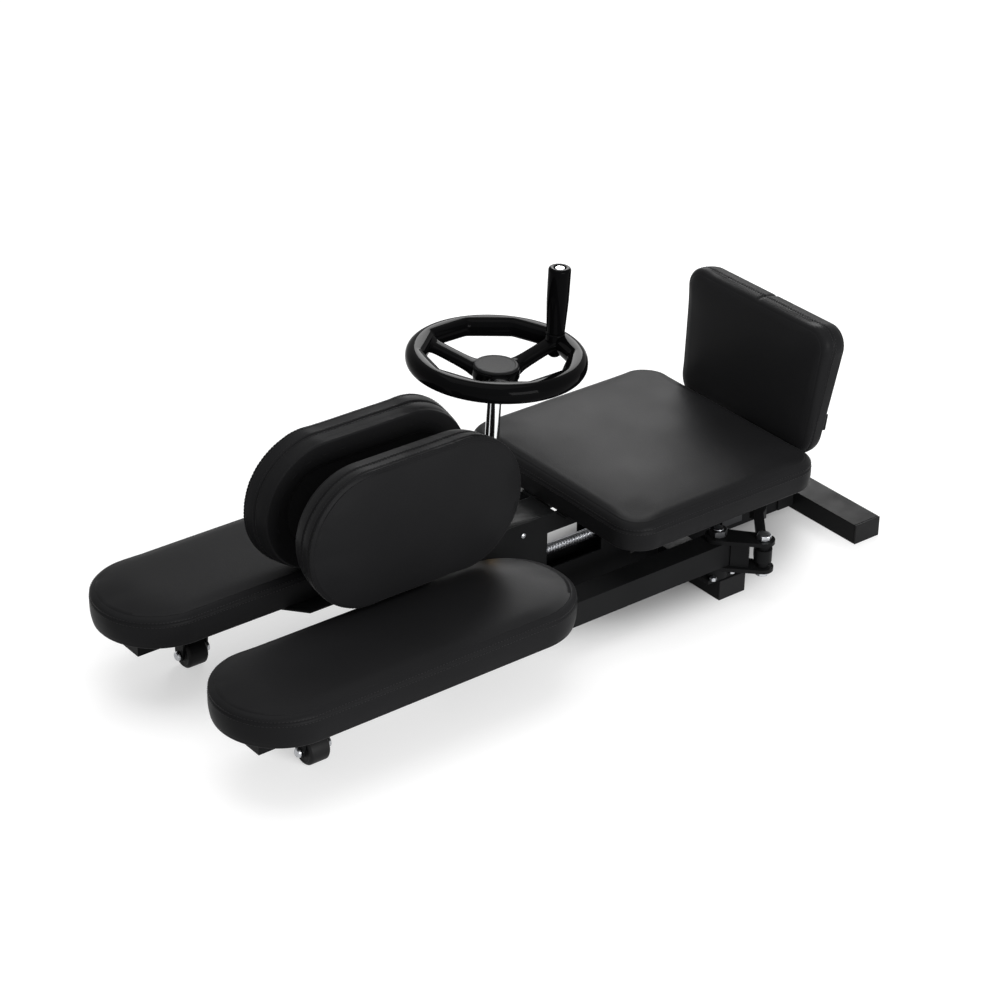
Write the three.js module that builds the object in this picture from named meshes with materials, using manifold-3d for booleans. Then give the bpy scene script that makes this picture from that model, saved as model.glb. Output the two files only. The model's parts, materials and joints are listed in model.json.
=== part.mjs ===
// Leg stretching machine: a low padded seat with a backrest, a gear housing with a handwheel in
// front of it, and two padded leg arms that swing out about upright pins beside the seat.
// Millimetres, +Z up, +X the way the sitter faces, +Y the sitter's left, floor at z = 0.
import * as THREE from "three";
import Module from "manifold-3d";
import { mergeVertices } from "three/addons/utils/BufferGeometryUtils.js";

const wasm = await Module();
wasm.setup();

// Clearances shared by every piece
const gap = 0.3;
const overrun = 1;
const boreClear = 0.3;

// Floor frame of rectangular tube
const footLength = 320;
const tubeWide = 50;
const footTall = 32;
const tubeWall = 2;
const capThick = 3;
const capRim = 1;
const capPlug = 12;
const spineTall = 26;
const midFootX = -285;
const rearFootBehind = 27;
const spineFrontX = 157;

// Gear housing and the side plates that carry the seat
const sheet = 3;
const plateLow = 8;
const plateTop = 153.2;
const noseX = 160;
const noseTop = 70;
const slopeStartX = 30;
const frontLegX = -205;
const rearLegWide = 30;
const bridgeLow = 112;
const windowBackX = -148;
const windowFrontX = -47;
const windowLow = 62;
const windowTop = 123;
const flangeWide = 22;
const coverSheet = 2.5;

// Seat
const seatFrontX = -62;
const seatLength = 360;
const seatWide = 390;
const seatCorner = 46;
const seatTall = 47.5;

// Backrest
const backWide = 308;
const backTall = 207.5;
const backThick = 48;
const backCorner = 36;
const backLean = 9;
const backGap = 10.1;
const backLift = 4;
const backNarrowShare = 0.107;
const backThinShare = 0.35;
const crossbarThick = 6;
const crossbarTall = 25;
const crossbarLow = 45;
const crossbarLength = 276;
const postDeep = 25;
const postWide = 40;
const postShoulderZ = 150;
const postStepRise = 22;
const postTopRise = 88;

// Upholstered pads and their boards
const boardThick = 12;
const boardInset = 8;
const boardClear = 0.4;
const padEdgeRound = 6;
const padDrawIn = 2.6;
const padCrown = 5;
const crownShares = [[1 / 4, 1 / 2], [1 / 2, 5 / 6], [4 / 5, 1]];
const shoulderDown = 12;
const uprightShoulder = 6;
const uprightDraft = 5.5;

// Leg arms, from the pivot pin
const pivotAhead = 19;
const pivotY = 147;
const armSide = 38;
const armWall = 2.5;
const armLow = 57;
const armBack = 14;
const armFront = 803;
const legPadStart = 290;
const legPadLength = 558;
const legPadWide = 186;
const legPadTall = 52;

// Pivot pins on the middle foot
const pinRadius = 8;
const sleeveRadius = 14;
const pivotPlateSide = 52;
const pivotPlateThick = 6;
const collarRadius = 17;
const pivotNutFlats = 24;
const pivotNutTall = 10;
const pinProud = 2;

// Crank plates, crank bolt and pull links
const crankTurn = 133;
const crankReach = 66;
const crankPlate = 6;
const crankEnd = 16;
const crankHeel = 19;
const webStart = 20;
const webEnd = 46;
const webWide = 20;
const crankBoltRadius = 6;
const crankHeadFlats = 19;
const crankHeadTall = 7.5;
const boltProud = 2.25;
const linkReach = 170;
const linkTurn = -129.18;
const linkWide = 24;
const linkTall = 20;
const linkEye = 13;
const linkSpacer = 8.5;
const linkPin = 5;
const forkDeep = 38;

// Carriage on the lead screw
const carriageLong = 40;
const carriageTravel = 66.2;
const travelClear = 3.2;
const pinStrayAlong = 8.9;
const pinStrayAcross = 3.5;
const crossheadThick = 6;
const crossheadRim = 6;
const nutAhead = 4;
const nutClear = 3;
const slideSlack = 10.5;
const sideSlack = 3.9;
const nutWide = 28;
const nutTop = 92;
const shoeWide = 62;
const shoeTall = 38;
const cheekLow = 18;

// Lead screw, bearings and bevel gears
const screwZ = 76;
const screwRadius = 8;
const journalRadius = 7;
const screwCollarRadius = 12;
const screwCollarLong = 6;
const frontBearingX = -14;
const frontBearingLong = 22;
const bearingLow = 50;
const bearingTop = 146;
const rearBearingLong = 12;
const rearBearingRadius = 17;
const gearPitch = 20;
const gearAddendum = 1.6;
const gearDedendum = 2.4;
const gearTeeth = 14;
const gearInnerShare = 0.65;
const gearHubRadius = 12.5;
const gearHubLong = 8;
const toothRootShare = 0.27;
const toothTipShare = 0.13;

// Steering shaft and handwheel
const wheelX = 27.5;
const wheelZ = 410;
const shaftLean = 2.8;
const shaftRadius = 10;
const shaftNeck = 42;
const shaftTip = 12;
const bushingRadius = 18;
const bushingLow = 46;
const bushingHigh = 100;
const wheelRadius = 125;
const rimDeep = 27;
const rimTall = 28;
const rimFlatCount = 10;
const rimFlatTurn = 4;
const stepsPerFlatCount = 4;
const rimSideCount = 10;
const hubRadius = 33;
const hubTop = -12.5;
const hubDrop = 42;
const hubCapRadius = 31;
const hubCapTall = 4;
const hubWall = 6;
const spokeCount = 3;
const spokeWide = 26;
const spokeTall = 15;
const spokeRiseOut = 4;
const spokeDropIn = 20;
const handleReach = 102;
const handleTall = 97;
const handleBase = 11.5;
const handleMid = 15;
const handleTop = 15.4;
const handleFoot = 10;
const handleRim = 7;
const handleNeckShare = 0.97;
const bossRadius = 14;
const bossTall = 15;
const bossDrop = 14;
const bossFootShare = 0.7;
const spindleRadius = 4;
const spindleHeadRadius = 7;
const spindleHeadTall = 5;
const spindleSlot = 1.6;

// Upright pads between the legs
const uprightCentre = 484;
const uprightLength = 350;
const uprightTall = 204;
const uprightThick = 53;
const uprightInnerY = 33;
const uprightLowZ = 151.5;
const bracketFront = 185;
const bracketInnerFront = 103;
const bracketPostHalf = 62;
const bracketPostTopHalf = 34;
const bracketPostTop = 262;

// Rollers under the leg arms
const rollerReach = 707;
const rollerRadius = 21;
const rollerLong = 32;
const rollerBevel = 3;
const forkSheet = 3;
const forkHalfWide = 14;
const forkEnd = 9;
const axleRadius = 4;
const axleHeadRadius = 7;
const axleHeadTall = 5;
const axleProud = 2;

// Screws through the housing sides
const housingScrewX = -3;
const housingScrewZ = 134;
const housingScrewRadius = 4;
const housingHeadRadius = 7;
const housingHeadTall = 3;
const housingScrewLong = 14;

// Faces used for round pieces
const roundSideCount = 24;
const smallSideCount = 16;
const hexSideCount = 6;
const forkCurveCount = 6;
const cornerStepCount = 9;

const degree = Math.PI / 180;

// Worked out from the sizes above
const armTop = armLow + armSide;
const crankHigh = armTop + crankPlate;
const crankLow = armLow - crankPlate;
const bracketLow = armTop + gap;
const legPadLow = bracketLow + sheet + gap;
const bedTop = plateTop + gap;
const pivotX = midFootX + pivotAhead;
const crankX = pivotX + crankReach * Math.cos(crankTurn * degree);
const crankY = pivotY + crankReach * Math.sin(crankTurn * degree);
const carriageX = crankX + linkReach * Math.cos(linkTurn * degree) - pinStrayAlong;
const crossheadY = crankY + linkReach * Math.sin(linkTurn * degree) - pinStrayAcross;
const rearBearingX = carriageX + nutAhead - carriageTravel - travelClear - rearBearingLong;
const rearLegBackX = rearBearingX - gap - postDeep;
const rearFootX = rearLegBackX - rearFootBehind;
const rearLegFrontX = rearLegBackX + rearLegWide;
const backLowThick = backThick * (1 - backThinShare);
const backFaceX = seatFrontX - seatLength - backGap - backLowThick;
const backLowZ = plateTop + backLift;
const barBack = -gap - crossbarThick;
const sideInner = tubeWide / 2 + gap;
const sideOuter = sideInner + sheet;
const apexX = wheelX + (wheelZ - screwZ) * Math.tan(shaftLean * degree);
const apexDrop = (wheelZ - screwZ) / Math.cos(shaftLean * degree);
const gearDepth = gearPitch / Math.tan((90 - shaftLean) / 2 * degree);

// Materials
const steelBlack = () => new THREE.MeshStandardMaterial({ color: 0x17181a, roughness: 0.5, metalness: 0.3 });
const zinc = () => new THREE.MeshStandardMaterial({ color: 0xb9bcc0, roughness: 0.35, metalness: 1 });
const chrome = () => new THREE.MeshStandardMaterial({ color: 0xe2e4e6, roughness: 0.12, metalness: 1 });
const vinyl = () => new THREE.MeshStandardMaterial({ color: 0x1d1e20, roughness: 0.62, metalness: 0 });
const backedBoard = () => new THREE.MeshStandardMaterial({ color: 0x141415, roughness: 0.9, metalness: 0 });
const glossBlack = () => new THREE.MeshStandardMaterial({ color: 0x0c0c0d, roughness: 0.18, metalness: 0 });
const gearSteel = () => new THREE.MeshStandardMaterial({ color: 0x7d8084, roughness: 0.45, metalness: 1 });
const bronze = () => new THREE.MeshStandardMaterial({ color: 0xa87a3c, roughness: 0.4, metalness: 1 });
const rollerNylon = () => new THREE.MeshStandardMaterial({ color: 0x1b1b1c, roughness: 0.55, metalness: 0 });
const capPlastic = () => new THREE.MeshStandardMaterial({ color: 0x141415, roughness: 0.6, metalness: 0 });

// Solids are joined and cut as closed manifolds and come back as plain geometry
function manifoldOf(geometry) {
  const bare = geometry.clone();
  bare.deleteAttribute("normal");
  bare.deleteAttribute("uv");
  const merged = mergeVertices(bare);
  const index = merged.index.array;
  const vertProperties = Float32Array.from(merged.attributes.position.array);
  return new wasm.Manifold(new wasm.Mesh({ numProp: 3, vertProperties, triVerts: Uint32Array.from(index) }));
}

function geometryOf(manifold) {
  const mesh = manifold.getMesh();
  const geometry = new THREE.BufferGeometry();
  geometry.setAttribute("position", new THREE.BufferAttribute(Float32Array.from(mesh.vertProperties), 3));
  geometry.setIndex(new THREE.BufferAttribute(Uint32Array.from(mesh.triVerts), 1));
  return geometry;
}

function combined(first, added, cut = []) {
  let whole = manifoldOf(first);
  for (const piece of added) whole = whole.add(manifoldOf(piece));
  for (const piece of cut) whole = whole.subtract(manifoldOf(piece));
  return geometryOf(whole);
}

// A block between two corners
function block(x0, x1, y0, y1, z0, z1) {
  const geometry = new THREE.BoxGeometry(x1 - x0, y1 - y0, z1 - z0);
  return geometry.translate((x0 + x1) / 2, (y0 + y1) / 2, (z0 + z1) / 2);
}

// A flat outline in X and Y, raised from z0 to z1
function slab(outline, z0, z1, holes = []) {
  const points = Array.isArray(outline) ? outline.map(([x, y]) => new THREE.Vector2(x, y)) : null;
  const shape = points ? new THREE.Shape(points) : outline;
  shape.holes.push(...holes);
  const options = { depth: z1 - z0, bevelEnabled: false, curveSegments: cornerStepCount };
  return new THREE.ExtrudeGeometry(shape, options).translate(0, 0, z0);
}

// A flat outline in X and Z, carried across from y0 to y1
function wall(outline, y0, y1, windows = []) {
  const shape = new THREE.Shape(outline.map(([x, z]) => new THREE.Vector2(x, z)));
  for (const window of windows) shape.holes.push(new THREE.Path(window.map(([x, z]) => new THREE.Vector2(x, z))));
  const geometry = new THREE.ExtrudeGeometry(shape, { depth: y1 - y0, bevelEnabled: false });
  return geometry.rotateX(Math.PI / 2).translate(0, y1, 0);
}

// A turned piece: radius and height pairs round the Z axis
function turned(profile, sides = roundSideCount) {
  return new THREE.LatheGeometry(profile.map(([r, z]) => new THREE.Vector2(r, z)), sides).rotateX(Math.PI / 2);
}

function rod(radius, z0, z1, sides = roundSideCount) {
  return turned([[0, z0], [radius, z0], [radius, z1], [0, z1]], sides);
}

function ring(outer, inner, z0, z1, sides = roundSideCount) {
  return turned([[inner, z0], [outer, z0], [outer, z1], [inner, z1], [inner, z0]], sides);
}

// A six-sided head across its flats
function hexagon(flats, z0, z1) {
  return rod(flats / Math.sqrt(3), z0, z1, hexSideCount);
}

// Turns a piece made round Z to lie along X
const alongX = (geometry) => geometry.rotateY(Math.PI / 2);

// Two round ends joined by straight sides, in X and Y
function strap(ax, ay, ar, bx, by, br, z0, z1) {
  const turn = Math.atan2(by - ay, bx - ax);
  const shape = new THREE.Shape();
  shape.absarc(bx, by, br, turn - Math.PI / 2, turn + Math.PI / 2, false);
  shape.absarc(ax, ay, ar, turn + Math.PI / 2, turn + Math.PI * 1.5, false);
  shape.closePath();
  return slab(shape, z0, z1);
}

// The left piece's mirror image across Y
function mirrored(geometry) {
  const copy = geometry.clone();
  copy.scale(1, -1, 1);
  const flat = copy.index ? copy.toNonIndexed() : copy;
  const position = flat.attributes.position;
  for (let i = 0; i < position.count; i += 3) {
    const b = new THREE.Vector3().fromBufferAttribute(position, i + 1);
    const c = new THREE.Vector3().fromBufferAttribute(position, i + 2);
    position.setXYZ(i + 1, c.x, c.y, c.z);
    position.setXYZ(i + 2, b.x, b.y, b.z);
  }
  flat.deleteAttribute("normal");
  return flat;
}

// A closed skin through rings of points, each ring with the same count, closed at both ends
function skin(rings, firstCentre, lastCentre) {
  const count = rings[0].length;
  const points = [firstCentre, ...rings.flat(), lastCentre];
  const faces = [];
  for (let i = 0; i < count; i += 1) {
    const next = (i + 1) % count;
    faces.push(0, 1 + next, 1 + i);
    for (let k = 0; k + 1 < rings.length; k += 1) {
      const low = 1 + k * count;
      const high = low + count;
      faces.push(low + i, low + next, high + next, low + i, high + next, high + i);
    }
    const last = 1 + (rings.length - 1) * count;
    faces.push(last + i, last + next, points.length - 1);
  }
  const geometry = new THREE.BufferGeometry();
  geometry.setAttribute("position", new THREE.Float32BufferAttribute(points.flat(), 3));
  geometry.setIndex(faces);
  return geometry;
}

// A rounded rectangle of half sizes a and b, drawn in by an inset, as points that run round once
function roundedOutline(a, b, corner, inset) {
  const radius = Math.max(corner - inset, (corner * cornerStepCount) / (cornerStepCount + inset + corner));
  const points = [];
  for (let quarter = 0; quarter < 4; quarter += 1) {
    const sideX = quarter === 0 || quarter === 3 ? 1 : -1;
    const sideY = quarter < 2 ? 1 : -1;
    for (let step = 0; step <= cornerStepCount; step += 1) {
      const turn = (quarter + step / cornerStepCount) * 90 * degree;
      const x = sideX * (a - inset - radius) + radius * Math.cos(turn);
      const y = sideY * (b - inset - radius) + radius * Math.sin(turn);
      points.push([x, y]);
    }
  }
  return points;
}

// A pad from its underside up: a pocket for its board, drawn-in sides, a seam line and a crown
function cushion(length, width, corner, tall, draft = 0, shoulder = shoulderDown) {
  const edge = tall - padCrown;
  const half = Math.min(length, width) / 2;
  const pocket = boardInset + draft - boardClear;
  const profile = [
    [pocket, boardThick + boardClear],
    [pocket, 0],
    [draft + padEdgeRound / 2, 0],
    [draft + padDrawIn / 2, padEdgeRound / 2],
    [draft / 2 + padDrawIn, edge / 2],
    [0, edge - shoulder],
    [padDrawIn / 2, edge - shoulder / 2],
    [padEdgeRound, edge - padDrawIn / 2],
    ...crownShares.map(([inShare, upShare]) => [half * inShare, edge + padCrown * upShare]),
  ];
  const rings = profile.map(([inset, z]) =>
    roundedOutline(length / 2, width / 2, corner, inset).map(([x, y]) => [x, y, z]));
  return skin(rings, [0, 0, boardThick + boardClear], [0, 0, edge + padCrown]);
}

function padBoard(length, width, corner, draft = 0) {
  const outline = roundedOutline(length / 2, width / 2, corner, boardInset + draft);
  return slab(outline, 0, boardThick);
}

// Moves every corner of a piece by a rule
function reshaped(geometry, rule) {
  const position = geometry.attributes.position;
  for (let i = 0; i < position.count; i += 1) {
    const [x, y, z] = rule(position.getX(i), position.getY(i), position.getZ(i));
    position.setXYZ(i, x, y, z);
  }
  return geometry;
}

const machine = new THREE.Group();

function place(group, name, geometry, material) {
  const mesh = new THREE.Mesh(geometry, material);
  mesh.name = name;
  group.add(mesh);
  return mesh;
}

// A rectangular tube along Y with open ends
function crossTube(x, length, tall) {
  const outer = block(x - tubeWide / 2, x + tubeWide / 2, -length / 2, length / 2, 0, tall);
  const inner = block(x - tubeWide / 2 + tubeWall, x + tubeWide / 2 - tubeWall,
    -length / 2 - overrun, length / 2 + overrun, tubeWall, tall - tubeWall);
  return combined(outer, [], [inner]);
}

// A rectangular tube along X with open ends, its top level with the feet
function spineTube(x0, x1) {
  const low = footTall - spineTall;
  const outer = block(x0, x1, -tubeWide / 2, tubeWide / 2, low, footTall);
  const inner = block(x0 - overrun, x1 + overrun, -tubeWide / 2 + tubeWall, tubeWide / 2 - tubeWall,
    low + tubeWall, footTall - tubeWall);
  return combined(outer, [], [inner]);
}

// A moulded cap whose face covers a foot tube's end and whose plug sits inside it
function footCap(x, side) {
  const end = footLength / 2 + gap;
  const face = block(x - tubeWide / 2, x + tubeWide / 2, end, end + capThick, 0, footTall);
  const inset = tubeWall + gap;
  const plug = block(x - tubeWide / 2 + inset, x + tubeWide / 2 - inset,
    end - capPlug, end + capRim, inset, footTall - inset);
  const cap = combined(face, [plug]);
  return side > 0 ? cap : mirrored(cap);
}

function addFloorFrame() {
  place(machine, "rear_foot", crossTube(rearFootX, footLength, footTall), steelBlack());
  place(machine, "middle_foot", crossTube(midFootX, footLength, footTall), steelBlack());
  for (const [label, x] of [["rear", rearFootX], ["middle", midFootX]]) {
    place(machine, `${label}_foot_cap_left`, footCap(x, 1), capPlastic());
    place(machine, `${label}_foot_cap_right`, footCap(x, -1), capPlastic());
  }
  const half = tubeWide / 2 + gap;
  place(machine, "rear_spine", spineTube(rearFootX + half, midFootX - half), steelBlack());
  place(machine, "front_spine", spineTube(midFootX + half, spineFrontX), steelBlack());
}

// One side plate: a front leg that closes the gear housing, a bridge under the seat, a rear leg
function sidePlate() {
  const outline = [
    [noseX, plateLow], [noseX, noseTop], [slopeStartX, plateTop], [rearLegBackX, plateTop],
    [rearLegBackX, plateLow], [rearLegFrontX, plateLow], [rearLegFrontX, bridgeLow],
    [frontLegX, bridgeLow], [frontLegX, plateLow],
  ];
  const window = [
    [windowBackX, windowLow], [windowFrontX, windowLow], [windowFrontX, windowTop], [windowBackX, windowTop],
  ];
  const plate = wall(outline, sideInner, sideOuter, [window]);
  const flange = block(seatFrontX - seatLength, seatFrontX, sideInner, sideOuter + flangeWide,
    plateTop - sheet, plateTop);
  const screwHole = rod(housingScrewRadius + boreClear, -sheet, sheet, smallSideCount);
  screwHole.rotateX(Math.PI / 2).translate(housingScrewX, sideInner + sheet / 2, housingScrewZ);
  return combined(plate, [flange], [screwHole]);
}

// The bent sheet that closes the housing's top and sloping front
function frontCover() {
  const innerNose = noseX - gap;
  const slope = (plateTop - noseTop) / (noseX - slopeStartX);
  const innerStart = slopeStartX - coverSheet * slope / 2;
  const outline = [
    [seatFrontX + gap, plateTop], [slopeStartX, plateTop], [innerNose, noseTop], [innerNose, footTall + gap],
    [innerNose - coverSheet, footTall + gap], [innerNose - coverSheet, noseTop - coverSheet / 2],
    [innerStart, plateTop - coverSheet], [seatFrontX + gap, plateTop - coverSheet],
  ];
  const cover = wall(outline, gap - sideInner, sideInner - gap);
  const hole = rod(bushingRadius + boreClear, bushingLow - overrun, bushingHigh + overrun);
  hole.rotateY(-shaftLean * degree).translate(apexX, 0, screwZ);
  return combined(cover, [], [hole]);
}

function housingScrew() {
  const head = rod(housingHeadRadius, gap, gap + housingHeadTall, smallSideCount);
  const shank = rod(housingScrewRadius, gap - housingScrewLong, gap + housingHeadTall / 2, smallSideCount);
  const screw = combined(head, [shank]);
  return screw.rotateX(-Math.PI / 2).translate(housingScrewX, sideOuter, housingScrewZ);
}

// The block between the side plates that holds the lead screw's front journal
function frontBearing() {
  const body = block(frontBearingX, frontBearingX + frontBearingLong, gap - sideInner, sideInner - gap,
    bearingLow, bearingTop);
  const bore = alongX(rod(journalRadius + boreClear, frontBearingX - overrun,
    frontBearingX + frontBearingLong + overrun));
  const depth = sheet + housingScrewLong;
  const sideHole = rod(housingScrewRadius + boreClear, -depth, depth, smallSideCount);
  sideHole.rotateX(Math.PI / 2);
  const left = sideHole.clone().translate(housingScrewX, sideOuter, housingScrewZ);
  const right = sideHole.clone().translate(housingScrewX, -sideOuter, housingScrewZ);
  return combined(body, [], [bore.translate(0, 0, screwZ), left, right]);
}

function addHousing() {
  place(machine, "left_side_plate", sidePlate(), steelBlack());
  place(machine, "right_side_plate", mirrored(sidePlate()), steelBlack());
  place(machine, "front_cover", frontCover(), steelBlack());
  place(machine, "housing_screw_left", housingScrew(), zinc());
  place(machine, "housing_screw_right", mirrored(housingScrew()), zinc());
  place(machine, "front_screw_bearing", frontBearing(), gearSteel());
  const rear = ring(rearBearingRadius, journalRadius + boreClear, rearBearingX, rearBearingX + rearBearingLong);
  place(machine, "rear_screw_bearing", alongX(rear).translate(0, 0, screwZ), gearSteel());
  const bushing = ring(bushingRadius, shaftRadius + boreClear, bushingLow, bushingHigh);
  const seat = place(machine, "shaft_bushing", bushing, bronze());
  seat.position.set(apexX, 0, screwZ);
  seat.rotation.y = -shaftLean * degree;
}

function addSeat() {
  const seat = new THREE.Group();
  seat.position.set(seatFrontX - seatLength / 2, 0, bedTop);
  machine.add(seat);
  place(seat, "seat_board", padBoard(seatLength, seatWide, seatCorner), backedBoard());
  place(seat, "seat_pad", cushion(seatLength, seatWide, seatCorner, seatTall), vinyl());
}

// Stands a flat pad up: its length turns upward and its underside faces back
function stoodUp(geometry) {
  return reshaped(geometry, (x, y, z) => [z, -y, x + backTall / 2]);
}

// The backrest narrows and thins toward the seat, all but its board
function backTaper(geometry) {
  return reshaped(geometry, (x, y, z) => {
    const down = 1 - z / backTall;
    const ahead = Math.max(0, x - boardThick - overrun) / (backThick - boardThick - overrun);
    return [x - ahead * down * backThinShare * backThick, y * (1 - down * backNarrowShare), z];
  });
}

// A point behind the leaning crossbar at a height above the backrest's lower end
function behindBar(rise) {
  const lean = backLean * degree;
  const x = backFaceX + (barBack - gap) * Math.cos(lean) - rise * Math.sin(lean);
  return [x, backLowZ + (barBack - gap) * Math.sin(lean) + rise * Math.cos(lean)];
}

function addBackrest() {
  const back = new THREE.Group();
  back.position.set(backFaceX, 0, backLowZ);
  back.rotation.y = -backLean * degree;
  machine.add(back);
  const board = padBoard(backTall, backWide, backCorner);
  const pad = cushion(backTall, backWide, backCorner, backThick);
  place(back, "backrest_board", backTaper(stoodUp(board)), backedBoard());
  place(back, "backrest_pad", backTaper(stoodUp(pad)), vinyl());
  const bar = block(barBack, -gap, -crossbarLength / 2, crossbarLength / 2, crossbarLow, crossbarLow + crossbarTall);
  place(back, "back_crossbar", bar, steelBlack());
  const postFront = rearLegBackX + postDeep;
  const [topX, topZ] = behindBar(postTopRise);
  const [bendX, bendZ] = behindBar(postStepRise);
  const outline = [
    [rearLegBackX, footTall + gap], [postFront, footTall + gap], [postFront, postShoulderZ], [bendX, bendZ],
    [topX, topZ], [topX - postDeep, topZ], [bendX - postDeep, bendZ + postStepRise / 2],
    [rearLegBackX, postShoulderZ + postStepRise / 2],
  ];
  place(machine, "back_post", wall(outline, -postWide / 2, postWide / 2), steelBlack());
}

// Base plate, collar and pin in one welded piece on the middle foot
function pivotPin() {
  const base = footTall + gap;
  const plate = block(-pivotPlateSide / 2, pivotPlateSide / 2, -pivotPlateSide / 2, footLength / 2 - pivotY,
    base, base + pivotPlateThick);
  const collar = rod(collarRadius, base + pivotPlateThick / 2, crankLow - gap);
  const pin = rod(pinRadius, crankLow - collarRadius / 2, crankHigh + pivotNutTall + pinProud);
  return combined(plate, [collar, pin]);
}

function pivotNut() {
  const low = crankHigh + gap;
  return combined(hexagon(pivotNutFlats, low, low + pivotNutTall), [],
    [rod(pinRadius + boreClear, low - overrun, low + pivotNutTall + overrun)]);
}

function addPivots() {
  for (const [side, sign] of [["left", 1], ["right", -1]]) {
    const make = (geometry) => (sign > 0 ? geometry : mirrored(geometry));
    const stand = new THREE.Group();
    stand.position.set(pivotX, sign * pivotY, 0);
    machine.add(stand);
    place(stand, `${side}_pivot_pin`, make(pivotPin()), steelBlack());
    place(stand, `${side}_pivot_nut`, make(pivotNut()), zinc());
  }
}

// Square tube, pivot sleeve and the two crank plates with the web between them, welded up
function legArm() {
  const half = armSide / 2;
  const turn = crankTurn * degree;
  const endX = crankReach * Math.cos(turn);
  const endY = crankReach * Math.sin(turn);
  const tube = block(-armBack, armFront, -half, half, armLow, armTop);
  const hollow = block(-armBack - overrun, armFront - armWall, armWall - half, half - armWall,
    armLow + armWall, armTop - armWall);
  const open = combined(tube, [], [hollow]);
  const web = block(webStart, webEnd, -webWide / 2, webWide / 2, armLow - overrun, armTop + overrun);
  web.rotateZ(turn);
  const added = [
    rod(sleeveRadius, crankLow, crankHigh),
    strap(0, 0, crankHeel, endX, endY, crankEnd, armTop, crankHigh),
    strap(0, 0, crankHeel, endX, endY, crankEnd, crankLow, armLow),
    web,
  ];
  const cut = [
    rod(pinRadius + boreClear, crankLow - overrun, crankHigh + overrun),
    rod(crankBoltRadius + boreClear, crankLow - overrun, crankHigh + overrun).translate(endX, endY, 0),
  ];
  return combined(open, added, cut);
}

// Bolt through both crank plates, with its nut underneath
function crankBolt() {
  const turn = crankTurn * degree;
  const head = hexagon(crankHeadFlats, crankHigh + gap, crankHigh + gap + crankHeadTall);
  const nut = hexagon(crankHeadFlats, crankLow - gap - crankHeadTall, crankLow - gap);
  const shank = rod(crankBoltRadius, crankLow - gap - crankHeadTall - boltProud, crankHigh + crankHeadTall / 2);
  const bolt = combined(head, [nut, shank]);
  return bolt.translate(crankReach * Math.cos(turn), crankReach * Math.sin(turn), 0);
}

// Folded sheet between the arm and its upright pad: a wing over the arm and a post behind the board
function uprightBracket() {
  const armHalf = armSide / 2;
  const boardFace = uprightInnerY - pivotY;
  const postOut = boardFace - gap;
  const postIn = postOut - sheet;
  const outline = [
    [uprightCentre - bracketFront, armHalf], [uprightCentre - bracketFront, -armHalf],
    [uprightCentre - bracketInnerFront, postIn], [uprightCentre + bracketInnerFront, postIn],
    [uprightCentre + bracketFront, -armHalf], [uprightCentre + bracketFront, armHalf],
  ];
  const wing = slab(outline, bracketLow, bracketLow + sheet);
  const post = wall([
    [uprightCentre - bracketPostHalf, bracketLow], [uprightCentre + bracketPostHalf, bracketLow],
    [uprightCentre + bracketPostTopHalf, bracketPostTop], [uprightCentre - bracketPostTopHalf, bracketPostTop],
  ], postIn, postOut);
  return combined(wing, [post]);
}

// Stands an upright pad between the legs: its underside faces inward
function stoodBetween(geometry) {
  return reshaped(geometry, (x, y, z) =>
    [x + uprightCentre, z + uprightInnerY - pivotY, uprightLowZ + uprightTall / 2 - y]);
}

// Folded fork under the arm, with a cheek at each end of the roller
function rollerFork() {
  const cheekIn = rollerLong / 2 + forkSheet / 2;
  const top = armLow - gap;
  const shape = new THREE.Shape();
  shape.moveTo(forkHalfWide, top);
  shape.lineTo(-forkHalfWide, top);
  shape.lineTo(-forkEnd, rollerRadius);
  shape.absarc(0, rollerRadius, forkEnd, Math.PI, Math.PI * 2, false);
  shape.closePath();
  const options = { depth: forkSheet, bevelEnabled: false, curveSegments: forkCurveCount };
  const cheek = new THREE.ExtrudeGeometry(shape, options);
  cheek.rotateX(Math.PI / 2).rotateZ(Math.PI / 2);
  const front = cheek.clone().translate(cheekIn, 0, 0);
  const back = cheek.clone().translate(-cheekIn - forkSheet, 0, 0);
  const plate = block(-cheekIn - forkSheet, cheekIn + forkSheet, -forkHalfWide, forkHalfWide,
    top - forkSheet, top);
  const bore = alongX(rod(axleRadius + boreClear, -rollerLong, rollerLong, smallSideCount));
  const fork = combined(plate, [front, back], [bore.translate(0, 0, rollerRadius)]);
  return fork.translate(rollerReach, 0, 0);
}

function rollerAxle() {
  const cheekOut = rollerLong / 2 + forkSheet / 2 + forkSheet + gap;
  const shank = rod(axleRadius, -cheekOut - axleHeadTall - axleProud, cheekOut + axleHeadTall / 2, smallSideCount);
  const head = rod(axleHeadRadius, cheekOut, cheekOut + axleHeadTall, smallSideCount);
  const nut = hexagon(axleHeadRadius * 2, -cheekOut - axleHeadTall, -cheekOut);
  return alongX(combined(shank, [head, nut])).translate(rollerReach, 0, rollerRadius);
}

function roller() {
  const half = rollerLong / 2;
  const body = turned([
    [axleRadius + boreClear, -half], [rollerRadius - rollerBevel, -half], [rollerRadius, rollerBevel - half],
    [rollerRadius, half - rollerBevel], [rollerRadius - rollerBevel, half], [axleRadius + boreClear, half],
    [axleRadius + boreClear, -half],
  ]);
  return alongX(body).translate(rollerReach, 0, rollerRadius);
}

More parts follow.
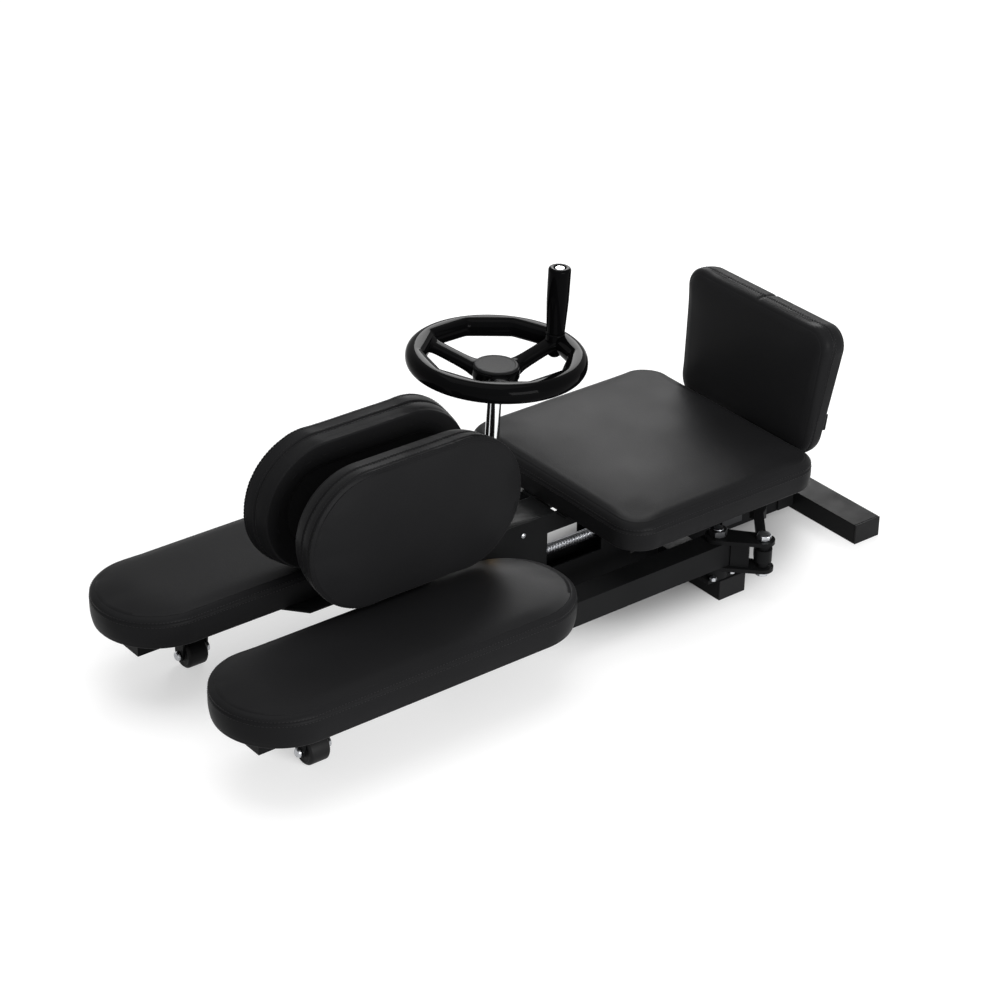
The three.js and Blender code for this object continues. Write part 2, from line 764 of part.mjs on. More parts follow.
// Pull link, in the frame of its crank bolt: an eye with spacers, a bar, and a fork with a pin
function pullLink() {
  const low = screwZ - linkTall / 2;
  const bar = strap(0, 0, linkEye, linkReach, 0, linkWide / 2, low, low + linkTall);
  const spacer = rod(linkSpacer, armLow + gap * 2, armTop - gap * 2, smallSideCount);
  const slot = block(linkReach - forkDeep, linkReach + linkWide, -linkWide, linkWide,
    screwZ - crossheadThick / 2 - gap, screwZ + crossheadThick / 2 + gap);
  const bore = rod(crankBoltRadius + boreClear, armLow, armTop, smallSideCount);
  const forked = combined(bar, [spacer], [slot, bore]);
  const pin = rod(linkPin, low - gap, low + linkTall + gap, smallSideCount).translate(linkReach, 0, 0);
  return combined(forked, [pin]);
}

function addLegs() {
  for (const [side, sign] of [["left", 1], ["right", -1]]) {
    const make = (geometry) => (sign > 0 ? geometry : mirrored(geometry));
    const leg = new THREE.Group();
    leg.position.set(pivotX, sign * pivotY, 0);
    machine.add(leg);
    place(leg, `${side}_leg_arm`, make(legArm()), steelBlack());
    place(leg, `${side}_crank_bolt`, make(crankBolt()), zinc());
    const padMiddle = legPadStart + legPadLength / 2;
    const board = padBoard(legPadLength, legPadWide, legPadWide / 2).translate(padMiddle, 0, legPadLow);
    const pad = cushion(legPadLength, legPadWide, legPadWide / 2, legPadTall).translate(padMiddle, 0, legPadLow);
    place(leg, `${side}_leg_board`, make(board), backedBoard());
    place(leg, `${side}_leg_pad`, make(pad), vinyl());
    place(leg, `${side}_upright_bracket`, make(uprightBracket()), steelBlack());
    const uprightBoard = stoodBetween(padBoard(uprightLength, uprightTall, uprightTall / 2, uprightDraft));
    const uprightPad = stoodBetween(
      cushion(uprightLength, uprightTall, uprightTall / 2, uprightThick, uprightDraft, uprightShoulder));
    place(leg, `${side}_upright_board`, make(uprightBoard), backedBoard());
    place(leg, `${side}_upright_pad`, make(uprightPad), vinyl());
    place(leg, `${side}_roller_fork`, make(rollerFork()), steelBlack());
    place(leg, `${side}_roller_axle`, make(rollerAxle()), zinc());
    place(leg, `${side}_roller`, make(roller()), rollerNylon());
    const link = new THREE.Group();
    link.position.set(crankX, sign * crankY, 0);
    link.rotation.z = sign * linkTurn * degree;
    machine.add(link);
    place(link, `${side}_pull_link`, make(pullLink()), steelBlack());
  }
}

// Shoe on the rear spine, nut round the screw, and swept-back wings whose slots take the link pins
function carriage() {
  const front = nutAhead + carriageLong;
  const shoeHalf = shoeWide / 2;
  const shoe = block(nutAhead, front, -shoeHalf, shoeHalf, cheekLow, shoeTall);
  const channel = block(nutAhead - overrun, front + overrun, -sideInner, sideInner, cheekLow - overrun, footTall + gap);
  const nut = block(nutAhead, front, -nutWide / 2, nutWide / 2, shoeTall - overrun, nutTop);
  const slotHalf = slideSlack + linkPin;
  const slotIn = crossheadY - sideSlack - linkPin;
  const slotOut = crossheadY + sideSlack + linkPin;
  const tip = slotHalf + crossheadRim;
  const right = [
    [front - nutClear, nutWide - nutClear], [tip, slotIn - crossheadRim], [tip, slotOut + crossheadRim],
    [-tip, slotOut + crossheadRim], [-tip, slotIn - crossheadRim], [nutAhead, shoeHalf],
  ];
  const left = right.map(([x, y]) => [x, -y]).reverse();
  const low = screwZ - crossheadThick / 2;
  const plate = slab([...right, ...left], low, low + crossheadThick);
  const bore = alongX(rod(screwRadius + boreClear, -overrun, front + overrun)).translate(0, 0, screwZ);
  const slot = block(-slotHalf, slotHalf, slotIn, slotOut, low - overrun, low + crossheadThick + overrun);
  return combined(shoe, [nut, plate], [channel, bore, slot, mirrored(slot)]);
}

// A straight-toothed bevel gear round Z: its cone's point is at the origin and its back faces up
function bevelGear(bore) {
  const step = (Math.PI * 2) / gearTeeth;
  const toothRing = (distance) => {
    const grow = distance / gearDepth;
    const tip = (gearPitch + gearAddendum) * grow;
    const root = (gearPitch - gearDedendum) * grow;
    const points = [];
    for (let tooth = 0; tooth < gearTeeth; tooth += 1) {
      const middle = tooth * step;
      for (const [share, radius] of [[-toothRootShare, root], [-toothTipShare, tip],
        [toothTipShare, tip], [toothRootShare, root]]) {
        const turn = middle + share * step;
        points.push([radius * Math.cos(turn), radius * Math.sin(turn), distance]);
      }
    }
    return points;
  };
  const inner = gearDepth * gearInnerShare;
  const teeth = skin([toothRing(inner), toothRing(gearDepth)], [0, 0, inner], [0, 0, gearDepth]);
  const hub = rod(gearHubRadius, gearDepth - overrun, gearDepth + gearHubLong, smallSideCount);
  const hole = rod(bore, -overrun, gearDepth + gearHubLong + overrun, smallSideCount);
  return combined(teeth, [hub], [hole]);
}

function addDrive() {
  const sled = new THREE.Group();
  sled.position.x = carriageX;
  machine.add(sled);
  place(sled, "carriage", carriage(), gearSteel());
  const threadEnd = frontBearingX - screwCollarLong - gap;
  const tipX = apexX - gearDepth * gearInnerShare + gap;
  const rearFace = rearBearingX + rearBearingLong;
  const profile = [
    [0, rearFace - rearBearingLong], [journalRadius, rearFace - rearBearingLong],
    [journalRadius, rearFace + gap], [screwRadius, rearFace + gap], [screwRadius, threadEnd],
    [screwCollarRadius, threadEnd], [screwCollarRadius, threadEnd + screwCollarLong],
    [journalRadius, threadEnd + screwCollarLong], [journalRadius, tipX], [0, tipX],
  ];
  place(machine, "lead_screw", alongX(turned(profile)).translate(0, 0, screwZ), zinc());
  const screwGear = bevelGear(journalRadius + boreClear).rotateZ(Math.PI / gearTeeth).rotateY(-Math.PI / 2);
  place(machine, "screw_bevel_gear", screwGear.translate(apexX, 0, screwZ), gearSteel());
}

// Handwheel round Z at its own centre: a rim with flats inside for the fingers, three spokes, a hub
// and a handle boss
function handwheel() {
  const middle = wheelRadius - rimDeep / 2;
  const reach = wheelRadius - rimDeep;
  const flatTurn = (Math.PI * 2) / rimFlatCount;
  const steps = rimFlatCount * stepsPerFlatCount;
  const section = rimSideCount;
  const rings = [];
  for (let i = 0; i < steps; i += 1) {
    const turn = rimFlatTurn * degree + (i / steps) * Math.PI * 2;
    const fromMiddle = flatTurn * ((i % stepsPerFlatCount) / stepsPerFlatCount - 1 / 2);
    const inward = reach - (reach * Math.cos(flatTurn / 2)) / Math.cos(fromMiddle);
    for (let k = 0; k < section; k += 1) {
      const round = (k / section) * Math.PI * 2;
      const inner = Math.max(0, -Math.cos(round)) * inward;
      const radius = middle + (rimDeep / 2) * Math.cos(round) - inner;
      rings.push([radius * Math.cos(turn), radius * Math.sin(turn), (rimTall / 2) * Math.sin(round)]);
    }
  }
  const faces = [];
  for (let i = 0; i < steps; i += 1) {
    for (let k = 0; k < section; k += 1) {
      const a = i * section + k;
      const b = i * section + ((k + 1) % section);
      const c = ((i + 1) % steps) * section + ((k + 1) % section);
      const d = ((i + 1) % steps) * section + k;
      faces.push(a, d, c, a, c, b);
    }
  }
  const rim = new THREE.BufferGeometry();
  rim.setAttribute("position", new THREE.Float32BufferAttribute(rings.flat(), 3));
  rim.setIndex(faces);
  const added = [rod(hubRadius, -hubDrop, hubTop)];
  for (let i = 0; i < spokeCount; i += 1) {
    const spoke = block(hubRadius - hubWall, middle, -spokeWide / 2, spokeWide / 2, -spokeTall / 2, spokeTall / 2);
    const slope = (spokeDropIn + spokeRiseOut) / (middle - hubRadius);
    reshaped(spoke, (x, y, z) => [x, y, z + spokeRiseOut - slope * (middle - x)]);
    added.push(spoke.rotateZ(Math.PI + (i * Math.PI * 2) / spokeCount));
  }
  added.push(turned([[0, -bossDrop], [bossRadius * bossFootShare, -bossDrop], [bossRadius, -bossDrop / 2],
    [bossRadius, bossTall], [0, bossTall]]).translate(-handleReach, 0, 0));
  const cut = [
    rod(shaftRadius + boreClear, -hubDrop - overrun, hubTop - hubWall),
    rod(spindleRadius + boreClear, -bossDrop * 2, bossTall * 2, smallSideCount).translate(-handleReach, 0, 0),
  ];
  return combined(rim, added, cut);
}

// Turned grip with a recess for the spindle's head
function handleGrip() {
  const low = bossTall + gap;
  const top = low + handleTall;
  const recess = spindleHeadTall + overrun;
  const bore = spindleRadius + boreClear;
  return turned([
    [bore, low], [handleBase, low], [handleBase, low + handleFoot], [handleMid, low + handleTall / 2],
    [handleTop * handleNeckShare, top - handleFoot], [handleTop, top - handleRim], [handleTop, top - overrun],
    [handleTop - overrun, top], [spindleHeadRadius + boreClear * 2, top],
    [spindleHeadRadius + boreClear * 2, top - recess], [bore, top - recess], [bore, low],
  ]);
}

function gripSpindle() {
  const top = bossTall + gap + handleTall;
  const headLow = top - spindleHeadTall - overrun + gap;
  const headTop = headLow + spindleHeadTall;
  const shank = rod(spindleRadius, -bossDrop - spindleHeadTall, headLow + overrun, smallSideCount);
  const head = rod(spindleHeadRadius, headLow, headTop, smallSideCount);
  const nut = hexagon(spindleHeadRadius * 2, -bossDrop - gap - spindleHeadTall, -bossDrop - gap);
  const slot = block(-spindleHeadRadius, spindleHeadRadius, -spindleSlot / 2, spindleSlot / 2,
    headTop - spindleSlot, headTop + overrun);
  return combined(shank, [head, nut], [slot]);
}

function addSteering() {
  const steering = new THREE.Group();
  steering.position.set(wheelX, 0, wheelZ);
  steering.rotation.y = -shaftLean * degree;
  machine.add(steering);
  const neck = shaftNeck - apexDrop;
  const shaft = turned([
    [0, shaftTip - apexDrop], [journalRadius, shaftTip - apexDrop], [journalRadius, neck],
    [shaftRadius, neck], [shaftRadius, hubTop - hubWall - gap], [0, hubTop - hubWall - gap],
  ]);
  place(steering, "steering_shaft", shaft, chrome());
  place(steering, "handwheel", handwheel(), glossBlack());
  place(steering, "hub_cap", rod(hubCapRadius, hubTop + gap, hubTop + gap + hubCapTall), glossBlack());
  place(steering, "shaft_bevel_gear", bevelGear(journalRadius + boreClear).translate(0, 0, -apexDrop), gearSteel());
  const grip = new THREE.Group();
  grip.position.x = -handleReach;
  steering.add(grip);
  place(grip, "handle_grip", handleGrip(), glossBlack());
  place(grip, "grip_spindle", gripSpindle(), chrome());
}

addFloorFrame();
addHousing();
addSeat();
addBackrest();
addPivots();
addLegs();
addDrive();
addSteering();

export default machine;
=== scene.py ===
import json
import math

import bmesh
import bpy
import mathutils
import numpy as np
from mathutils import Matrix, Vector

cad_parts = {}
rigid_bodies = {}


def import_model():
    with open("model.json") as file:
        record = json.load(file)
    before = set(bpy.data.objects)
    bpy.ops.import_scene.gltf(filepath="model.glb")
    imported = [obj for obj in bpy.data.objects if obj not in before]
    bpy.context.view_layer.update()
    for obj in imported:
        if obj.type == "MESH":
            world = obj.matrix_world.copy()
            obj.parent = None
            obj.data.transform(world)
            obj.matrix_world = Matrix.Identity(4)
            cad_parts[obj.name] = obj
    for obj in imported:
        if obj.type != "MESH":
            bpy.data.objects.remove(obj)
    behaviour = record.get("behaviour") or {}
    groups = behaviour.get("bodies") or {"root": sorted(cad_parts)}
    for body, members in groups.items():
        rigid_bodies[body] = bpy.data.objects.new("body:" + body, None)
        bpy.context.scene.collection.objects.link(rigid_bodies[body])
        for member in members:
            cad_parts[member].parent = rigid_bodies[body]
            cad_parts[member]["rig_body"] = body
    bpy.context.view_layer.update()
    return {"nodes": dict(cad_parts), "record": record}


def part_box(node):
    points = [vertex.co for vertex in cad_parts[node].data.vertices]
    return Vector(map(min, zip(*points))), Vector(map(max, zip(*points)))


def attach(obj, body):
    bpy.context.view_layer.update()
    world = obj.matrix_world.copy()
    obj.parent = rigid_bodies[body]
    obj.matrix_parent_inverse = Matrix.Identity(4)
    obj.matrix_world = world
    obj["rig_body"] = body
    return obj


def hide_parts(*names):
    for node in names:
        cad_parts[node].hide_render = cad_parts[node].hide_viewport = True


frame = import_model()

# Feet and floor spines
# Two cross feet and the spines between them are rectangular steel tube, welded where they meet and
# powder coated satin black. A moulded cap closes each end of a foot.
MM = 0.001
COAT_PEEL = 420
COAT_SPECKLE = 1500


def new_material(name, colour, roughness, metallic=0.0, ior=1.5):
    """A material with one shader, whose plain values sit on the shader's own sockets."""
    material = bpy.data.materials.new(name)
    material.use_nodes = True
    shader = material.node_tree.nodes["Principled BSDF"]
    shader.inputs["Base Color"].default_value = (*colour, 1)
    shader.inputs["Roughness"].default_value = roughness
    shader.inputs["Metallic"].default_value = metallic
    shader.inputs["IOR"].default_value = ior
    return material


def on_piece(material, kind, scale, stretch=(1, 1, 1)):
    """A texture node of that kind on the piece's own coordinates, about scale waves to a metre."""
    nodes, links = material.node_tree.nodes, material.node_tree.links
    place = nodes.new("ShaderNodeTexCoord")
    shaped = nodes.new("ShaderNodeMapping")
    shaped.inputs["Scale"].default_value = stretch
    texture = nodes.new(kind)
    texture.inputs["Scale"].default_value = scale
    links.new(place.outputs["Object"], shaped.inputs["Vector"])
    links.new(shaped.outputs["Vector"], texture.inputs["Vector"])
    return texture


def noise_on(material, scale, detail=2.0, stretch=(1, 1, 1)):
    """Soft noise between 0 and 1."""
    texture = on_piece(material, "ShaderNodeTexNoise", scale, stretch)
    texture.inputs["Detail"].default_value = detail
    return texture.outputs["Fac"]


def ranged(material, value, low, high):
    """A straight line from low, where the value is 0.25, to high, where it is 0.75."""
    nodes, links = material.node_tree.nodes, material.node_tree.links
    line = nodes.new("ShaderNodeMapRange")
    line.inputs["From Min"].default_value = 0.25
    line.inputs["From Max"].default_value = 0.75
    line.inputs["To Min"].default_value = low
    line.inputs["To Max"].default_value = high
    links.new(value, line.inputs["Value"])
    return line.outputs["Result"]


def tinted(material, value, dark, light):
    """The base colour goes from dark to light with the value."""
    nodes, links = material.node_tree.nodes, material.node_tree.links
    ramp = nodes.new("ShaderNodeValToRGB")
    ramp.color_ramp.elements[0].position = 0.3
    ramp.color_ramp.elements[0].color = (*dark, 1)
    ramp.color_ramp.elements[1].position = 0.7
    ramp.color_ramp.elements[1].color = (*light, 1)
    links.new(value, ramp.inputs["Fac"])
    links.new(ramp.outputs["Color"], nodes["Principled BSDF"].inputs["Base Color"])


def dulled(material, value, low, high):
    """The roughness goes from low to high with the value."""
    shader = material.node_tree.nodes["Principled BSDF"]
    material.node_tree.links.new(ranged(material, value, low, high), shader.inputs["Roughness"])


def embossed(material, value, depth):
    """The surface stands depth metres proud where the value is 1, on top of the relief it has."""
    nodes, links = material.node_tree.nodes, material.node_tree.links
    normal = nodes["Principled BSDF"].inputs["Normal"]
    bump = nodes.new("ShaderNodeBump")
    bump.inputs["Distance"].default_value = depth
    links.new(value, bump.inputs["Height"])
    if normal.is_linked:
        links.new(normal.links[0].from_socket, bump.inputs["Normal"])
    links.new(bump.outputs["Normal"], normal)


def powder_coat():
    """Satin black with orange peel, a fine speckle, and a faint change of tone along each piece."""
    coat = new_material("powder_coat", (0.007, 0.0071, 0.0074), 0.4, ior=1.12)
    tinted(coat, noise_on(coat, 7), (0.0055, 0.0056, 0.0059), (0.0085, 0.0087, 0.009))
    dulled(coat, noise_on(coat, 45, 3), 0.34, 0.46)
    embossed(coat, noise_on(coat, COAT_PEEL), 3e-5)
    embossed(coat, noise_on(coat, COAT_SPECKLE), 8e-6)
    return coat


def moulded_cap():
    """Injection moulded plastic, a little duller than the paint, with a spark texture."""
    cap = new_material("moulded_cap", (0.009, 0.009, 0.0094), 0.55, ior=1.18)
    dulled(cap, noise_on(cap, 60), 0.48, 0.6)
    embossed(cap, noise_on(cap, 1100, 4), 2.5e-5)
    return cap


def finished(piece, body, slot, *nodes):
    """Says what the piece rides on and which nodes it stands for, and hides those nodes; the slot is
    not used.
    """
    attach(piece, body)
    if nodes:
        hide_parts(*nodes)
    return piece


def slot_of(node):
    """The record's material slot of a node."""
    parts = frame["record"]["subparts"]
    return next(part["material_slot"] for part in parts if part["node"] == node)


EASED_ANGLE = math.radians(33)
FLAT_ANGLE = math.radians(0.5)
MERGE_DISTANCE = 0.01 * MM


def eased(node, material, ending, edge=0.7):
    """A node's copy, its doubles merged, flat faces joined and a small round on sharp edges."""
    source = frame["nodes"][node]
    mesh = source.data.copy()
    solid = bmesh.new()
    solid.from_mesh(mesh)
    bmesh.ops.remove_doubles(solid, verts=solid.verts, dist=MERGE_DISTANCE)
    bmesh.ops.dissolve_limit(solid, angle_limit=FLAT_ANGLE, verts=solid.verts, edges=solid.edges)
    solid.to_mesh(mesh)
    solid.free()
    if "custom_normal" in mesh.attributes:
        mesh.attributes.remove(mesh.attributes["custom_normal"])
    mesh.shade_smooth()
    mesh.materials.clear()
    mesh.materials.append(material)
    piece = bpy.data.objects.new(f"{node}_{ending}", mesh)
    bpy.context.scene.collection.objects.link(piece)
    bevel = piece.modifiers.new("eased_edges", "BEVEL")
    bevel.width = edge * MM
    bevel.segments = 2
    bevel.limit_method = "ANGLE"
    bevel.angle_limit = EASED_ANGLE
    bevel.harden_normals = True
    return finished(piece, source["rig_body"], slot_of(node), node)


paint = powder_coat()
cap_plastic = moulded_cap()
for foot in ("rear_foot", "middle_foot"):
    eased(foot, paint, "painted", 1.0)
    for side in ("left", "right"):
        eased(f"{foot}_cap_{side}", cap_plastic, "moulded", 1.0)
for spine in ("rear_spine", "front_spine"):
    eased(spine, paint, "painted", 1.0)

# Housing
# Two laser cut side plates and a bent cover over the top and the sloping front, welded to the spine
# and painted with it. Inside are machined blocks for the lead screw and a bronze bush for the shaft.


def machined(name, colour, roughness, turned_along=(1, 1, 1)):
    """Bare cut metal with fine tool marks drawn out along the piece."""
    metal = new_material(name, colour, roughness, metallic=1.0)
    dulled(metal, noise_on(metal, 300, 3, turned_along), roughness - 0.06, roughness + 0.1)
    embossed(metal, noise_on(metal, 900, 2, turned_along), 6e-6)
    return metal


cut_steel = machined("machined_steel", (0.42, 0.43, 0.45), 0.36, (0.1, 1, 1))
bush_bronze = machined("bush_bronze", (0.55, 0.36, 0.15), 0.33, (1, 1, 0.1))
# Painted shade: this steel's colour is darkened to the shade it sits in under the seat, for the
# screw's blocks, the carriage and the pivot nuts.
shade_dark_steel = machined("steel_darkened_for_shade", (0.06, 0.061, 0.064), 0.42, (0.1, 1, 1))
for side in ("left", "right"):
    eased(f"{side}_side_plate", paint, "painted", 0.5)
eased("front_cover", paint, "painted", 0.6)
# The screw's blocks take the steel darkened as painted shade.
eased("front_screw_bearing", shade_dark_steel, "machined", 0.8)
eased("rear_screw_bearing", shade_dark_steel, "machined", 0.6)
eased("shaft_bushing", bush_bronze, "machined", 0.6)


SKIN_MERGE = 0.002 * MM
CORNER_SHARE = 0.45


def grid_faces(rows, columns, closed_rows=False):
    """Quads between the neighbours of a grid whose columns run round, as one array."""
    row = np.arange(rows if closed_rows else rows - 1)[:, None]
    column = np.arange(columns)[None, :]
    after, beside = (row + 1) % rows, (column + 1) % columns
    corners = [row * columns + column, row * columns + beside, after * columns + beside,
               after * columns + column]
    return np.stack(corners, -1).reshape(-1, 4)


def shaped(name, grids, material, sharp=35.0):
    """An object whose closed skins are the grids, each with columns that run round and, where a
    grid comes with True, rows that do so too. Points are in millimetres."""
    grids = [grid if isinstance(grid, tuple) else (grid, False) for grid in grids]
    starts = np.cumsum([0] + [grid.shape[0] * grid.shape[1] for grid, _ in grids])
    points = np.concatenate([grid.reshape(-1, 3) for grid, _ in grids]) * MM
    faces = np.concatenate([grid_faces(*grid.shape[:2], closed) + start
                            for (grid, closed), start in zip(grids, starts)])
    mesh = bpy.data.meshes.new(name)
    mesh.vertices.add(len(points))
    mesh.vertices.foreach_set("co", points.astype(np.float32).ravel())
    mesh.loops.add(faces.size)
    mesh.loops.foreach_set("vertex_index", faces.astype(np.int32).ravel())
    mesh.polygons.add(len(faces))
    mesh.polygons.foreach_set("loop_start", np.arange(0, faces.size, 4, dtype=np.int32))
    mesh.update(calc_edges=True)
    solid = bmesh.new()
    solid.from_mesh(mesh)
    bmesh.ops.remove_doubles(solid, verts=solid.verts, dist=SKIN_MERGE)
    bmesh.ops.recalc_face_normals(solid, faces=solid.faces)
    solid.to_mesh(mesh)
    solid.free()
    mesh.shade_smooth()
    mesh.set_sharp_from_angle(angle=math.radians(sharp))
    mesh.materials.append(material)
    piece = bpy.data.objects.new(name, mesh)
    bpy.context.scene.collection.objects.link(piece)
    return piece


def rounded(profile, radius, steps=4):
    """The line of (radius, height) points, each corner cut back and joined by a parabola."""
    points = np.array(profile, float)
    line = [points[0]]
    for before, corner, after in zip(points, points[1:], points[2:]):
        reach_in, reach_out = np.linalg.norm(before - corner), np.linalg.norm(after - corner)
        cut = min(radius, CORNER_SHARE * reach_in, CORNER_SHARE * reach_out)
        start = corner + (before - corner) * cut / reach_in
        end = corner + (after - corner) * cut / reach_out
        for t in np.linspace(0, 1, steps + 1):
            line.append(start * (1 - t) ** 2 + corner * 2 * t * (1 - t) + end * t ** 2)
    return np.array(line + [points[-1]])


def turned(profile, around=64):
    """A lathe surface about Z: (r cos t, r sin t, z) for each (r, z) and each turn t."""
    turn = np.arange(around) * 2 * np.pi / around
    radius, height = (np.asarray(profile, float)[:, i, None] for i in range(2))
    return np.stack([radius * np.cos(turn), radius * np.sin(turn), height + 0 * turn], -1)


def placed(grid, origin, up=(0, 0, 1), ahead=(1, 0, 0)):
    """The grid's X, Y and Z laid along ahead, up x ahead and up, from an origin in millimetres."""
    up, ahead = np.array(up, float), np.array(ahead, float)
    return np.array(origin, float) + grid @ np.array([ahead, np.cross(up, ahead), up])


WELD_STEP, WELD_SIDES, WELD_RIPPLE = 0.65, 12, 0.09


def weld_bead(start, end, thick=2.2, pool=2.6):
    """A painted weld from start to end: a tube of radius thick * (1 + ripple * cos(2 pi s / pool))
    for the distance s along it, times the root of 1 - (2 s / long - 1) ** 16, which rounds it off
    at both ends."""
    start, end = np.array(start, float), np.array(end, float)
    long = np.linalg.norm(end - start)
    ahead = (end - start) / long
    s = np.linspace(0, long, int(long / WELD_STEP) + 2)[:, None]
    turn = (np.arange(WELD_SIDES) * 2 * np.pi / WELD_SIDES)[None]
    fade = np.sqrt(np.clip(1 - (2 * s / long - 1) ** 16, 0, 1))
    radius = thick * (1 + WELD_RIPPLE * np.cos(2 * np.pi * s / pool)) * fade
    side = np.cross(ahead, [0.3, 0.5, 0.81])
    side /= np.linalg.norm(side)
    over = np.cross(ahead, side)
    return (start + s[..., None] * ahead + (radius * np.cos(turn))[..., None] * side
            + (radius * np.sin(turn))[..., None] * over)


FOOT_JOINTS = (-532.0, -310.0, -260.0)
SPINE_HALF, SPINE_LOW, SPINE_TOP = 25.0, 7.5, 30.5
BEAD_TOP_Z, BEAD_TOP_HALF, BEAD_TOP_THICK = 31.6, 24.0, 1.5
beads = [weld_bead((x, y, SPINE_LOW), (x, y, SPINE_TOP))
         for x in FOOT_JOINTS for y in (-SPINE_HALF, SPINE_HALF)]
beads += [weld_bead((x, -BEAD_TOP_HALF, BEAD_TOP_Z), (x, BEAD_TOP_HALF, BEAD_TOP_Z), BEAD_TOP_THICK)
          for x in FOOT_JOINTS]
finished(shaped("spine_welds_painted", beads, paint, 80), "base", "black_steel")


def zinc_plate():
    """Bright zinc: cool grey metal with cloudy patches and fine grain."""
    zinc = new_material("zinc_plate", (0.46, 0.47, 0.49), 0.32, metallic=1.0)
    tinted(zinc, noise_on(zinc, 220, 3), (0.38, 0.39, 0.41), (0.54, 0.55, 0.57))
    dulled(zinc, noise_on(zinc, 400), 0.26, 0.4)
    embossed(zinc, noise_on(zinc, 1600), 6e-6)
    return zinc


zinc = zinc_plate()
SCREW_X, SCREW_Z = -3.0, 134.0
PLATE_FACE = 28.3
dome_screw = turned(rounded([(0, 2.6), (1.8, 2.4), (3.6, 1.5), (4.3, 0.3), (2.6, 0.3),
                             (2.6, -13.2), (2.0, -13.7), (0, -13.7)], 0.5), 48)
for side, sign in (("left", 1), ("right", -1)):
    screw = placed(dome_screw, (SCREW_X, sign * PLATE_FACE, SCREW_Z), (0, sign, 0))
    finished(shaped(f"housing_screw_{side}_plated", [screw], zinc), "base", "zinc_steel",
             f"housing_screw_{side}")

# Lead screw and carriage
# A two start trapezoidal screw, left handed, one turn moving the machined carriage 10 mm along the
# rear spine. Its collar bears on the front block and a bevel gear is pinned to its front end.
SCREW_AXIS_Z = 76.0
SCREW_TIP, SCREW_ROOT = 8.0, 6.3
THREAD_PITCH, THREAD_LEAD = 5.0, 10.0
FLANK_SLOPE, FLANK_START = 6, 0.9
THREAD_FRONT = -20.3
TAIL_LONG, TAIL_LAP, COLLAR_LONG = 12.3, 1.0, 6.0
JOURNAL_RADIUS, COLLAR_RADIUS = 7.0, 12.0


def thread_of(start, end, tip, root, pitch, lead, around=28, steps_a_pitch=9):
    """A threaded bar about Z: the radius is a trapezoid wave between root and tip of the phase
    (z - lead * turn / 2 pi) / pitch, run out to the root over one pitch at each end."""
    height = np.linspace(start, end, int((end - start) / pitch * steps_a_pitch))[:, None]
    turn = (np.arange(around) * 2 * np.pi / around)[None, :]
    phase = ((height - lead * turn / (2 * np.pi)) / pitch) % 1
    wave = np.clip((0.5 - np.abs(phase - 0.5)) * FLANK_SLOPE - FLANK_START, 0, 1)
    fade = np.clip((height - start) / pitch, 0, 1) * np.clip((end - height) / pitch, 0, 1)
    radius = root + (tip - root) * wave * fade
    bar = np.stack([radius * np.cos(turn), radius * np.sin(turn), height + 0 * turn], -1)
    foot, head = (np.broadcast_to([0, 0, level], (1, around, 3)) for level in (start, end))
    return np.concatenate([foot, bar, head])


screw_back, screw_front = (corner[0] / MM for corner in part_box("lead_screw"))
thread_back = screw_back + TAIL_LONG
collar_front = THREAD_FRONT + COLLAR_LONG
tail = rounded([(0, screw_back), (JOURNAL_RADIUS, screw_back),
                (JOURNAL_RADIUS, thread_back + TAIL_LAP), (0, thread_back + TAIL_LAP)], 0.8)
nose = rounded([(0, THREAD_FRONT - 0.5), (COLLAR_RADIUS, THREAD_FRONT),
                (COLLAR_RADIUS, collar_front), (JOURNAL_RADIUS, collar_front),
                (JOURNAL_RADIUS, screw_front), (0, screw_front)], 0.7)
bar = thread_of(thread_back, THREAD_FRONT, SCREW_TIP, SCREW_ROOT, THREAD_PITCH, THREAD_LEAD)
along_x = [placed(part, (0, 0, SCREW_AXIS_Z), (1, 0, 0), (0, 1, 0))
           for part in (bar, turned(tail, 48), turned(nose, 48))]
finished(shaped("lead_screw_threaded", along_x, cut_steel), "screw", "zinc_steel", "lead_screw")
eased("screw_bevel_gear", cut_steel, "machined", 0.4)
# The carriage takes the steel darkened as painted shade.
eased("carriage", shade_dark_steel, "machined", 0.6)

# Pivots and leg arms
# Each arm is square tube on a painted pin that stands on the middle foot, under a nut darkened to
# paint in the seat's shade. Two crank plates take the bolt of the pull link, and a fork under the
# far end holds the roller.
PIVOT_X, PIVOT_Y = -266.0, 147.0
CRANK_TURN, CRANK_REACH = math.radians(133), 66.0
LINK_TURN = math.radians(-129.18)
WAIST_FROM, WAIST_TO, WAIST_TAPER, WAIST_SHARE = 15.0, 122.0, 12.0, 0.55


def waisted(piece, origin, ahead):
    """Draws a forged link in between its eye and its fork: each point's offset from the link's own
    axis is multiplied by a share that falls from 1 to the waist's over a taper at each end."""
    solid = bmesh.new()
    solid.from_mesh(piece.data)
    for reach in (WAIST_FROM, WAIST_FROM + WAIST_TAPER, WAIST_TO - WAIST_TAPER, WAIST_TO):
        parts = solid.verts[:] + solid.edges[:] + solid.faces[:]
        bmesh.ops.bisect_plane(solid, geom=parts, plane_co=(origin + ahead * reach) * MM,
                               plane_no=ahead)
    solid.to_mesh(piece.data)
    solid.free()
    points = np.empty(len(piece.data.vertices) * 3, np.float32)
    piece.data.vertices.foreach_get("co", points)
    points = points.reshape(-1, 3) / MM
    along = (points - origin) @ ahead
    axis = origin + along[:, None] * ahead
    depth = np.minimum(along - WAIST_FROM, WAIST_TO - along) / WAIST_TAPER
    share = 1 - (1 - WAIST_SHARE) * np.clip(depth, 0, 1)
    points = (axis + (points - axis) * share[:, None]) * MM
    piece.data.vertices.foreach_set("co", points.astype(np.float32).ravel())
    piece.data.update()


